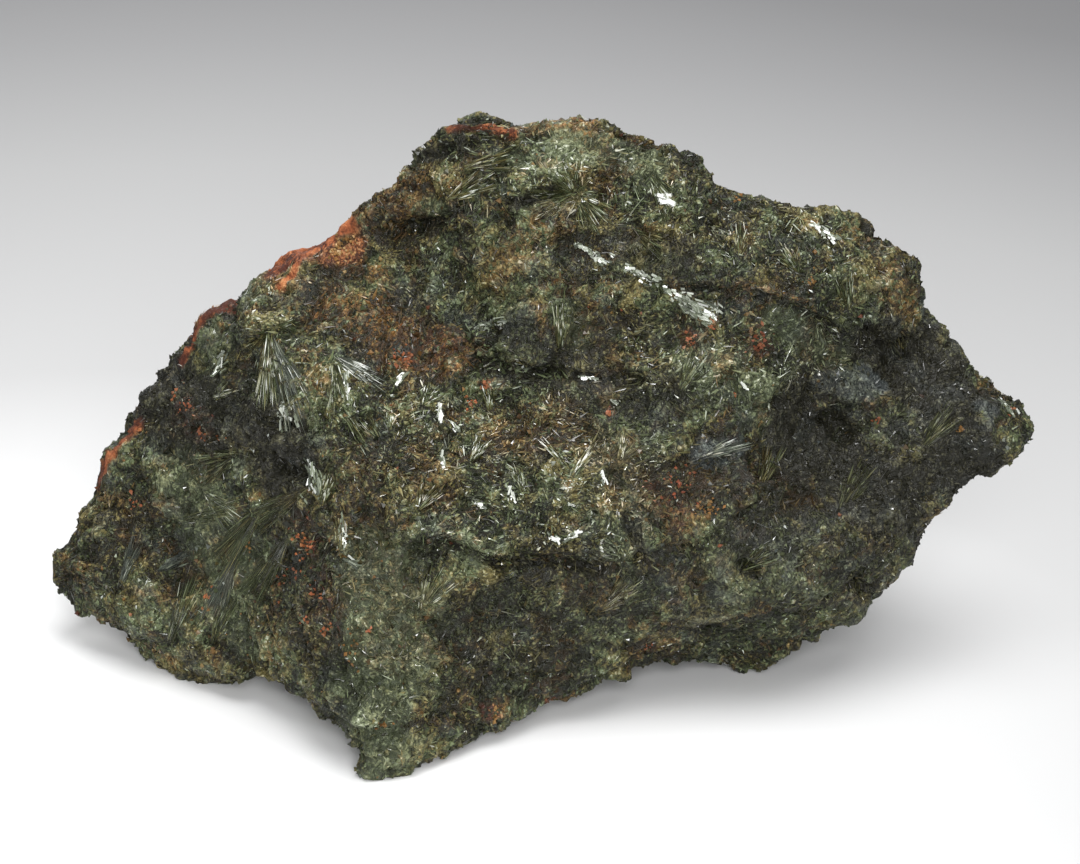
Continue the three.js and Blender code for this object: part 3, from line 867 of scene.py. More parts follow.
def nearest_cell(
    points: np.ndarray, width: float, seed: int
) -> tuple[np.ndarray, np.ndarray, np.ndarray]:
    """The random cell that each point lies in.

    Args:
        points: rows of x, y and z in millimetres.
        width: about how wide a cell is.
        seed: picks the cells.

    Returns:
        How much nearer the cell's middle is than the next one's, in widths; the offset from the
        middle in millimetres; and the cell's lasting number.
    """
    jitter = np.random.default_rng(seed).uniform(0.0, 1.0, (CELL_VALUES, 3))
    place = points / width + LATTICE_START
    base = np.floor(place).astype(np.int64)
    best = np.full(len(points), 9.0)
    second = best.copy()
    offset = np.zeros_like(points)
    number = np.zeros(len(points), np.int64)
    for corner in itertools.product((-1, 0, 1), repeat=3):
        cell = base + corner
        key = lattice_key(cell, CELL_VALUES)
        away = place - cell - jitter[key]
        gap = np.linalg.norm(away, axis=1)
        nearer = gap < best
        second = np.where(nearer, best, np.minimum(second, gap))
        best = np.where(nearer, gap, best)
        offset[nearer] = away[nearer]
        number[nearer] = key[nearer]
    return second - best, offset * width, number


# What each adds to the tone: streaks along the grain; painted shade in the skin's hollows; painted
# light where the top is lit; steel; painted shade where shade falls.
SHADES = {"streak": 0.13, "hollow": 0.11, "light": 0.02, "steel": 0.08, "painted_shade": -0.2}


@dataclass
class StoneMass:
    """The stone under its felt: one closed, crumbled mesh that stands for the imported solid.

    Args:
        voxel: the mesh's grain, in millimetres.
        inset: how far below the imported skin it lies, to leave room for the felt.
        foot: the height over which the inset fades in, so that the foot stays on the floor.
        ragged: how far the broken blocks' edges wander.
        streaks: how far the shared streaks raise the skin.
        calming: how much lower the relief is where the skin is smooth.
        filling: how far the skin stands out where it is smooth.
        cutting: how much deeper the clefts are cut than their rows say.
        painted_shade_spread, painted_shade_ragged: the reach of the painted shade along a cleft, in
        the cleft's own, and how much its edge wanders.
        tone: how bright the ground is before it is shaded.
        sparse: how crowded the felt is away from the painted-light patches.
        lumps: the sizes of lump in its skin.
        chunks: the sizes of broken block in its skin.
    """

    voxel: float = 0.45
    inset: float = 0.3
    foot: float = 2.5
    ragged: float = 0.4
    streaks: float = 0.14
    calming: float = 0.5
    filling: float = 0.15
    cutting: float = 1.4
    painted_shade_spread: float = 1.15
    painted_shade_ragged: float = 0.4
    tone: float = 0.2
    sparse: float = 0.6
    lumps: tuple[Lumps, ...] = (
        Lumps(6.5, 0.56, 1),
        Lumps(2.8, 0.25, 2),
        Lumps(1.2, 0.16, 3),
    )
    chunks: tuple[Chunks, ...] = (
        Chunks(6.5, 0.36, 0.5, 0.3, 5),
        Chunks(2.6, 0.12, 0.28, 0.34, 6),
        Chunks(1.4, 0.07, 0.18, 0.26, 7),
    )
    name: str = "stone_mass"
    skin: Skin = field(init=False)
    colouring: Colouring = field(init=False)
    clefts: list[tuple[Cleft, np.ndarray]] = field(init=False)
    crowding: np.ndarray = field(init=False)
    thing: bpy.types.Object = field(init=False)

    def rounded(self) -> bpy.types.Mesh:
        """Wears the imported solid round.

        Returns:
            A mesh of it, made anew with an even grain.
        """
        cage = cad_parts[NODE].data.copy()
        form = bmesh.new()
        form.from_mesh(cage)
        bmesh.ops.remove_doubles(form, verts=form.verts, dist=1e-6)
        form.to_mesh(cage)
        form.free()
        thing = linked("cage", cage)
        worn = thing.modifiers.new("worn", "SUBSURF")
        worn.levels = worn.render_levels = 1
        even = thing.modifiers.new("even", "REMESH")
        even.mode = "VOXEL"
        even.voxel_size = self.voxel * MM
        graph = bpy.context.evaluated_depsgraph_get()
        mesh = bpy.data.meshes.new_from_object(thing.evaluated_get(graph))
        bpy.data.objects.remove(thing)
        bpy.data.meshes.remove(cage)
        return mesh

    def relief(self, points: np.ndarray, stains_and_light: Layers) -> np.ndarray:
        """Works out the skin's lumps, blocks and clefts, lower where the skin is smooth.

        Args:
            points: rows of x, y and z in millimetres.
            stains_and_light: the strengths there of the stains and of the painted light and shade.

        Returns:
            How far each point moves out, in millimetres.
        """
        height = np.zeros(len(points))
        for lumps in self.lumps:
            height += lattice_noise(points, lumps.wavelength, lumps.seed) * lumps.height
        wander = [lattice_noise(points, 1.8, seed) for seed in (41, 42, 43)]
        ragged = points + self.ragged * np.stack(wander, axis=1)
        for chunks in self.chunks:
            height += chunks.relief(ragged)
        height += self.streaks * clump_tone(points)
        smooth = np.maximum(smooth_step(0.35, 0.6, stains_and_light["crust"]), stains_and_light["calm"])
        height *= 1.0 - self.calming * smooth
        height += self.filling * smooth
        ruffle = lattice_noise(points, 1.3, 21) * 0.35
        for cleft, line in self.clefts:
            gap = distance_to_line(points, line) / cleft.reach + ruffle
            height -= self.cutting * cleft.depth * (1.0 - smooth_step(0.0, 1.0, gap))
        return height

    def shade(self, points: np.ndarray, stains_and_light: Layers) -> np.ndarray:
        """How much lighter or darker the tone is at each point: streaks and steel, painted shade in
        hollows, clefts and where shade falls, and a little painted light where the top is lit.

        Args:
            points: rows of x, y and z in millimetres.
            stains_and_light: the strengths there of the stains and of the painted light and shade.

        Returns:
            What is added to the tone of whatever lies at each point.
        """
        # Painted shade: the tone darkens where the relief sinks into hollows and clefts.
        hollow = np.clip((self.relief(points, stains_and_light) - 0.1) / 0.5, -1.4, 1.0)
        tone = SHADES["streak"] * clump_tone(points) + SHADES["hollow"] * hollow
        for name in ("light", "steel", "painted_shade"):
            tone = tone + SHADES[name] * stains_and_light[name]
        return tone

    def crumbled(
        self, mesh: bpy.types.Mesh, base: Skin, stains_and_light: Layers
    ) -> np.ndarray:
        """Crumbles, cleaves and swells the skin.

        Args:
            mesh: the worn solid.
            base: its skin.
            stains_and_light: the strengths of the stains and of the painted light and shade at its
                vertices.

        Returns:
            The new places of the vertices, in millimetres.
        """
        normals = np.empty(len(base.points) * 3)
        mesh.vertex_normals.foreach_get("vector", normals)
        inset = self.inset * smooth_step(0.0, self.foot, base.points[:, 2])
        move = self.relief(base.points, stains_and_light) - inset
        points = base.points + normals.reshape(-1, 3) * move[:, None]
        outlook = Outlook(Side.FRONT.value)
        right, up, _ = map(np.array, outlook.axes())
        for swell in SWELLS:
            middle = base.cast_line(outlook, (swell.mark,))
            if len(middle):
                near = 1.0 - smooth_step(0.0, swell.reach, distance_to_line(points, middle))
                points += near[:, None] * (right * swell.push[0] + up * swell.push[1])
        return kept_in_box(points)

    def build(self) -> None:
        """Makes the mesh, and the skin and colouring that the felt grows by."""
        mesh = self.rounded()
        base = Skin(mesh)
        # Painted shade along every cleft, where shade falls into it.
        shaded = [
            Patch(StainAndPaintedLight.PAINTED_SHADE, c.marks, self.painted_shade_spread * c.reach, 1.0, self.painted_shade_ragged, c.side)
            for c in CLEFTS
        ]
        self.colouring = Colouring(base, (*PATCHES, *shaded))
        cast = [(c, base.cast_line(Outlook(c.side.value), c.marks)) for c in CLEFTS]
        self.clefts = [(cleft, line) for cleft, line in cast if len(line)]
        stains_and_light = self.colouring.at(base.points)
        points = self.crumbled(mesh, base, stains_and_light)
        # The ground's tone, with its painted shade and painted light.
        stains_and_light["tone"] = np.clip(self.tone + self.shade(base.points, stains_and_light), 0.0, 1.0)
        faces = np.empty(len(mesh.loops), np.int32)
        mesh.loops.foreach_get("vertex_index", faces)
        faces = faces.reshape(-1, 4)
        bpy.data.meshes.remove(mesh)
        draft = Draft(points, faces, stains_and_light, boxed_map(points, faces))
        self.thing = draft.make(self.name, smooth=True)
        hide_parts(NODE)
        self.skin = Skin(self.thing.data)
        middles = self.skin.points[self.skin.triangles].mean(axis=1)
        # The felt is crowded more in the painted-light patches.
        self.crowding = self.sparse + self.colouring.at(middles)["light"]
        log.info("%s: %d faces, %.0f mm2", self.name, len(faces), self.skin.areas.sum())

    def dress(self, finish: "StoneFinish") -> None:
        """Gives the mass its finish."""
        self.thing.data.materials.append(finish.material())


# ---- felt and crystals --------------------------------------------------------------------------


@dataclass(frozen=True)
class Range:
    """A span of sizes that one is drawn from."""

    least: float
    most: float

    def draw(self, rng: np.random.Generator, count: int, lean: float = 1.0) -> np.ndarray:
        """Sizes within the span. A lean over 1 makes small ones more common."""
        return self.least + (self.most - self.least) * rng.random(count) ** lean


def crusted(stains_and_light: Layers) -> np.ndarray:
    """How surely the crust keeps a place bare, from 0 to 1."""
    return smooth_step(0.3, 0.55, stains_and_light["crust"])


@dataclass
class Growth:
    """A piece that grows on the stone's mass.

    Args:
        name: the piece's name.
        seed: the source of chance.
    """

    name: str
    seed: int
    thing: bpy.types.Object = field(init=False)

    def draft(self, mass: StoneMass, rng: np.random.Generator) -> Draft:
        """The piece's mesh in the making, which each kind of growth works out."""
        raise NotImplementedError

    def build(self, mass: StoneMass) -> None:
        """Grows the piece on the mass."""
        draft = self.draft(mass, np.random.default_rng(self.seed))
        draft.vertices = kept_in_box(draft.vertices)
        self.thing = draft.make(self.name, smooth=False)
        log.info("%s: %d faces", self.name, len(draft.faces))

    def dress(self, finish: "NeedleFinish") -> None:
        """Gives the piece its finish."""
        self.thing.data.materials.append(finish.material())


@dataclass
class FeltLayer(Growth):
    """A layer of short needles, each in a tuft that fans out or lies like combed hair.

    Args:
        needles: how many.
        tufts: how many tufts share them.
        length, width, lift: sizes in millimetres; lift is how high the tips stand.
        stray: the share of needles that lie any way at all.
        tone: how bright the layer is.
        setbacks: how far behind a fanned tuft its needles' lines meet, in spaces between tufts.
        setback_odds: the chance of each setback.
        combed: the share of tufts that lie along the grain.
        blur: how loosely a needle keeps to its tuft, in spaces between tufts.
        root_depth: how deep the roots are sunk.
        middle_tone: the tone that needles keep to away from the painted-light patches.
        tuft_tone, tuft_warmth, needle_warmth: how much tufts and needles differ.
        sparks, more_sparks: the share of needles painted bright as a stand-in for glints, and what
            the painted-light patches add to it.
        painted_glint_tone: how much brighter their painted glint makes them.
    """

    needles: int
    tufts: int
    length: Range
    width: Range
    lift: Range
    stray: float
    tone: Range
    setbacks: tuple[float, ...] = (0.0, 0.45, 0.9, 2.5)
    setback_odds: tuple[float, ...] = (0.25, 0.3, 0.25, 0.2)
    combed: float = 0.45
    blur: float = 0.12
    root_depth: float = 0.12
    middle_tone: float = 0.14
    tuft_tone: float = 0.09
    tuft_warmth: float = 0.2
    needle_warmth: float = 0.1
    sparks: float = 0.015
    more_sparks: float = 0.15
    painted_glint_tone: float = 0.6

    def set_tufts(
        self, skin: Skin, rng: np.random.Generator
    ) -> tuple[np.ndarray, KDTree, float]:
        """Sets the tufts over the skin.

        Args:
            skin: what they grow on.
            rng: the source of chance.

        Returns:
            The apex that each tuft's needles point away from, a tree of the tufts' heads, and the
            space between tufts in millimetres.
        """
        heads, normals = skin.scatter(self.tufts, rng)
        tangent = np.cross(normals, rng.normal(size=(self.tufts, 3)))
        spacing = math.sqrt(skin.areas.sum() / self.tufts)
        setback = spacing * rng.choice(self.setbacks, self.tufts, p=self.setback_odds)
        combed = rng.random(self.tufts) < self.combed
        tangent[combed] = GRAIN_RUNS[grain_run(heads)][combed] + 0.25 * tangent[combed]
        setback[combed] = 3.0 * spacing
        tree = KDTree(self.tufts)
        for number, head in enumerate(heads):
            tree.insert(head, number)
        tree.balance()
        return heads - laid_flat(tangent, normals) * setback[:, None], tree, spacing

    def colour(
        self, mass: StoneMass, middles: np.ndarray, home: np.ndarray, rng: np.random.Generator
    ) -> tuple[np.ndarray, Layers]:
        """Colours the needles.

        Args:
            mass: what they grow on.
            middles: where each needle is.
            home: the number of each needle's tuft.
            rng: the source of chance.

        Returns:
            Which needles the crust leaves, and a value for each needle by attribute name.
        """
        count = self.needles
        stains_and_light = mass.colouring.at(middles)
        kept = rng.random(count) > crusted(stains_and_light)
        # Each tuft's tone, with the mass's painted shade and painted light where the needle lies.
        tuft_tone = rng.normal(0.0, self.tuft_tone, self.tufts)[home] + mass.shade(middles, stains_and_light)
        bright = self.tone.draw(rng, count, 1.4)
        # Painted glints: a few needles, more in the painted-light patches, are made far brighter,
        # whiter and glossier.
        spark = rng.random(count) < self.sparks + self.more_sparks * stains_and_light["light"]
        spark = spark * rng.uniform(0.3, 1.0, count)
        spread = (0.65 + 0.5 * stains_and_light["light"]) * (1.0 - 0.35 * stains_and_light["calm"])
        tone = self.middle_tone + (bright - self.middle_tone) * spread
        tone = tone + tuft_tone + self.painted_glint_tone * spark
        stains_and_light["rust"] *= rng.uniform(0.45, 1.0, count)
        stains_and_light["pale"] *= rng.uniform(0.3, 1.0, count)
        stains_and_light["red"] = 0.6 * (rng.random(count) < 0.3 * stains_and_light["red"])
        warmer = rng.normal(0.0, self.tuft_warmth, self.tufts)[home]
        warmer = warmer + rng.normal(0.0, self.needle_warmth, count)
        stains_and_light["warmth"] = np.clip(stains_and_light["warmth"] + warmer - 0.7 * spark, 0.0, 1.0)
        stains_and_light["gloss"] = np.clip(rng.random(count) ** 3 + spark, 0.0, 1.0)
        stains_and_light["tone"] = np.clip(tone, DARKEST, 1.0)
        return kept, stains_and_light

    def draft(self, mass: StoneMass, rng: np.random.Generator) -> Draft:
        """The needles, each pointing away from its tuft's apex and hugging the skin."""
        skin = mass.skin
        apexes, tree, spacing = self.set_tufts(skin, rng)
        middles, normals = skin.scatter(self.needles, rng, mass.crowding)
        blur = middles + rng.normal(size=middles.shape) * spacing * self.blur
        home = np.array([tree.find(place)[1] for place in blur])
        away = middles - apexes[home]
        away += rng.normal(size=away.shape) * spacing * self.blur
        lost = rng.random(self.needles) < self.stray
        away[lost] = rng.normal(size=(int(lost.sum()), 3))
        tuft_size = rng.uniform(0.7, 1.3, self.tufts)[home]
        lengths = self.length.draw(rng, self.needles, 1.6) * tuft_size
        reach = laid_flat(away, normals) * lengths[:, None] * 0.5
        roots, root_normals = skin.nearest(middles - reach)
        tips, tip_normals = skin.nearest(middles + reach)
        roots = roots - root_normals * self.root_depth
        tips = tips + tip_normals * self.lift.draw(rng, self.needles, 1.5)[:, None]
        kept, layers = self.colour(mass, middles, home, rng)
        widths = self.width.draw(rng, self.needles, 1.6)
        layers = {key: values[kept] for key, values in layers.items()}
        return needle_draft(roots[kept], tips[kept], normals[kept], widths[kept], layers)


FELT = (
    FeltLayer(
        "felt_tufts", 102, 30000, 2600, Range(0.5, 1.6), Range(0.14, 0.3), Range(0.0, 0.14),
        0.08, Range(0.04, 0.34),
    ),
    FeltLayer(
        "felt_sprays", 103, 32000, 1000, Range(0.7, 2.2), Range(0.1, 0.24), Range(0.0, 0.14),
        0.03, Range(0.02, 0.36),
    ),
    FeltLayer(
        "felt_crossed", 104, 12000, 1300, Range(0.4, 1.6), Range(0.14, 0.38), Range(0.0, 0.2),
        0.25, Range(0.0, 0.6),
    ),
)


class Form(Enum):
    """The shape of a loose grain."""

    CHIP = "chip"
    SPLINTER = "splinter"


@dataclass
class GrainBed(Growth):
    """Small grains, half sunk in the skin, each with its own colour.

    Args:
        form: the shape of the grains.
        grains: how many.
        length: of a grain, in millimetres.
        tone: how bright the grains are.
        gloss: how glossy the glossiest are.
        specks: the share of grains that are rusty, red or pale wherever they lie.
        everywhere: the share of grains that are set away from the painted-light patches.
        crumbling: how surely the crust keeps the grains off.
        stout: a splinter's width as a share of its length.
        sunk: how far out of the skin a grain's middle is.
    """

    form: Form
    grains: int
    length: Range
    tone: Range
    gloss: float
    specks: dict[str, float]
    everywhere: float
    crumbling: float
    stout: Range = Range(0.2, 0.5)
    sunk: Range = Range(-0.1, 0.06)

    def draft(self, mass: StoneMass, rng: np.random.Generator) -> Draft:
        """The grains, set in the skin."""
        count = self.grains
        places, normals = mass.skin.scatter(count, rng)
        stains_and_light = mass.colouring.at(places)
        kept = rng.random(count) > self.crumbling * crusted(stains_and_light)
        kept &= rng.random(count) < self.everywhere + stains_and_light["light"]
        for name in ("rust", "red", "pale", "steel"):
            worn = rng.random(count) < 0.75 * stains_and_light[name] + self.specks.get(name, 0.0)
            stains_and_light[name] = np.where(worn, rng.uniform(0.2, 0.8, count), 0.0)
        stains_and_light["warmth"] = np.clip(stains_and_light["warmth"] + rng.normal(0.0, 0.15, count), 0.0, 1.0)
        stains_and_light["gloss"] = self.gloss * rng.random(count) ** 2
        # The grains take the mass's painted shade and painted light as well.
        tone = self.tone.draw(rng, count, 2.2) + mass.shade(places, stains_and_light)
        stains_and_light["tone"] = np.clip(tone, DARKEST, 1.0)
        lengths = self.length.draw(rng, count, 1.6)
        middles = places + normals * self.sunk.draw(rng, count)[:, None]
        layers = {key: values[kept] for key, values in stains_and_light.items()}
        if self.form is Form.CHIP:
            return chip_draft(middles[kept], lengths[kept], rng, layers)
        half = unit(rng.normal(size=places.shape)) * lengths[:, None] * 0.5
        return needle_draft(
            (middles - half)[kept],
            (middles + half)[kept],
            unit(rng.normal(size=places.shape))[kept],
            (lengths * self.stout.draw(rng, count))[kept],
            layers,
        )


GRAINS = (
    GrainBed(
        "ground_grains", 111, Form.CHIP, 22000, Range(0.2, 0.65), Range(0.08, 0.34),
        0.5, {"rust": 0.025, "red": 0.006, "pale": 0.02}, 1.0, 0.75,
    ),
    # Splinters painted near white and made glossy, a painted highlight standing in for glints.
    GrainBed(
        "glints", 112, Form.SPLINTER, 14000, Range(0.2, 0.8), Range(0.5, 1.0),
        1.0, {"steel": 0.6}, 0.2, 1.0,
    ),
)


@dataclass(frozen=True)
class Specks:
    """A cluster of coarse grains of one colour.

    Args:
        mark: its middle.
        reach: how far it spreads, in millimetres.
        count: how many grains.
        stain: what colours them.
        tone: how bright the brightest is.
        side: the side that the mark is on.
    """

    mark: Mark
    reach: float
    count: int
    stain: StainAndPaintedLight
    tone: float
    side: Side = Side.FRONT


SPECKS = on_sides(Specks, {
    Side.FRONT: (
        ((-23.8, -11.3), 1.0, 22, StainAndPaintedLight.CRUST, 0.42),
        ((-29.6, -11.7), 0.8, 16, StainAndPaintedLight.RUST, 0.4),
        ((-32.8, -16.8), 0.8, 18, StainAndPaintedLight.CRUST, 0.42),
        ((-23.6, -18.9), 0.5, 6, StainAndPaintedLight.CRUST, 0.32),
        ((-21.5, -19.8), 0.6, 9, StainAndPaintedLight.CRUST, 0.32),
        ((-17.3, -19.9), 0.4, 5, StainAndPaintedLight.RED, 0.6),
        ((-22.8, -16.0), 0.9, 8, StainAndPaintedLight.CRUST, 0.28),
        ((-40.6, -7.3), 0.7, 9, StainAndPaintedLight.CRUST, 0.28),
        ((-35.9, 3.1), 1.2, 18, StainAndPaintedLight.CRUST, 0.26),
        ((-34.0, -0.3), 0.7, 8, StainAndPaintedLight.RED, 0.35),
        ((-32.1, -0.9), 0.6, 5, StainAndPaintedLight.CRUST, 0.3),
        ((-25.0, -14.5), 2.4, 20, StainAndPaintedLight.CRUST, 0.2),
        ((-8.1, -25.9), 0.3, 4, StainAndPaintedLight.RUST, 0.55),
        ((-15.6, -29.5), 0.7, 10, StainAndPaintedLight.RUST, 0.3),
        ((-19.0, -22.0), 2.2, 14, StainAndPaintedLight.RUST, 0.35),
        ((15.0, 9.4), 0.7, 26, StainAndPaintedLight.RED, 0.75),
        ((17.2, 10.7), 0.4, 6, StainAndPaintedLight.RED, 0.6),
        ((22.0, 9.2), 1.5, 22, StainAndPaintedLight.RED, 0.25),
        ((6.9, 2.0), 0.4, 8, StainAndPaintedLight.RED, 0.65),
        ((-5.5, 4.7), 0.45, 8, StainAndPaintedLight.RED, 0.6),
        ((-6.9, 2.8), 0.7, 12, StainAndPaintedLight.CRUST, 0.42),
        ((19.8, 23.6), 0.5, 6, StainAndPaintedLight.RUST, 0.5),
        ((19.6, 3.9), 0.35, 5, StainAndPaintedLight.RED, 0.6),
        ((33.7, 1.3), 0.6, 6, StainAndPaintedLight.RED, 0.35),
        ((27.0, 15.3), 0.8, 10, StainAndPaintedLight.RUST, 0.35),
        ((-13.7, 7.5), 1.3, 20, StainAndPaintedLight.CRUST, 0.3),
        ((-16.2, 11.3), 1.6, 24, StainAndPaintedLight.RUST, 0.35),
        ((14.0, -5.4), 1.6, 24, StainAndPaintedLight.RED, 0.3),
        ((16.5, -7.5), 1.4, 26, StainAndPaintedLight.RUST, 0.42),
        ((11.0, -21.5), 0.5, 7, StainAndPaintedLight.RED, 0.35),
        ((42.2, 0.1), 0.5, 6, StainAndPaintedLight.RUST, 0.4),
        ((47.5, 2.3), 0.7, 9, StainAndPaintedLight.RED, 0.4),
        ((-19.9, 18.3), 1.5, 60, StainAndPaintedLight.RUST, 0.62),
        ((1.0, -27.3), 0.5, 7, StainAndPaintedLight.RED, 0.4),
        ((-4.5, -28.4), 0.8, 10, StainAndPaintedLight.RUST, 0.45),
    ),
    Side.BACK: (
        ((-6.0, 8.0), 1.0, 18, StainAndPaintedLight.CRUST, 0.35),
        ((12.0, 8.0), 1.2, 18, StainAndPaintedLight.RED, 0.5),
        ((-24.0, -4.0), 1.2, 18, StainAndPaintedLight.RUST, 0.4),
        ((6.0, -14.0), 1.2, 16, StainAndPaintedLight.CRUST, 0.3),
    ),
    Side.RIGHT: (
        ((9.0, 6.0), 1.0, 16, StainAndPaintedLight.RED, 0.5),
    ),
    Side.LEFT: (
        ((-12.0, -8.0), 1.0, 16, StainAndPaintedLight.CRUST, 0.3),
    ),
})


@dataclass
class SpeckBed(Growth):
    """All the clusters of coloured grains, as one piece.

    Args:
        clusters: where they lie.
        size: of a grain, in millimetres.
    """

    name: str = "coloured_grains"
    seed: int = 113
    clusters: tuple[Specks, ...] = SPECKS
    size: Range = Range(0.22, 0.55)

    def draft(self, mass: StoneMass, rng: np.random.Generator) -> Draft:
        """Each cluster's grains, set in the skin."""
        middles, kinds, tones = [], [], []
        for specks in self.clusters:
            outlook = Outlook(specks.side.value)
            for _ in range(specks.count):
                stray = rng.normal(0.0, 0.5 * specks.reach, 2)
                place = mass.skin.cast(outlook, *(np.array(specks.mark) + stray))
                if place is not None:
                    middles.append(place)
                    kinds.append(specks.stain.value)
                    tones.append(specks.tone * rng.uniform(0.4, 1.0))
        count = len(middles)
        layers = {
            stain.value: np.where(np.array(kinds) == stain.value, rng.uniform(0.6, 1.0, count), 0.0)
            for stain in StainAndPaintedLight
        }
        layers["warmth"] = np.full(count, 0.6)
        layers["gloss"] = 0.3 * rng.random(count) ** 2
        layers["tone"] = np.clip(tones, 0.0, 1.0)
        return chip_draft(np.array(middles), self.size.draw(rng, count), rng, layers)


@dataclass(frozen=True)
class Spray:
    """A fan of long crystals, as seen from a side.

    Args:
        mark: the point that they fan out from.
        heading: degrees from the right, turning up.
        fan: half of the fan's angle, in degrees.
        length: of the longest, in millimetres.
        count: how many crystals.
        tone: how bright they are, from 0 to 1.
        width: of the widest, in millimetres.
        stain: what colours them, or None.
        side: the side that the mark is on.
    """

    mark: Mark
    heading: float
    fan: float
    length: float
    count: int
    tone: float
    width: float
    stain: StainAndPaintedLight | None = None
    side: Side = Side.FRONT


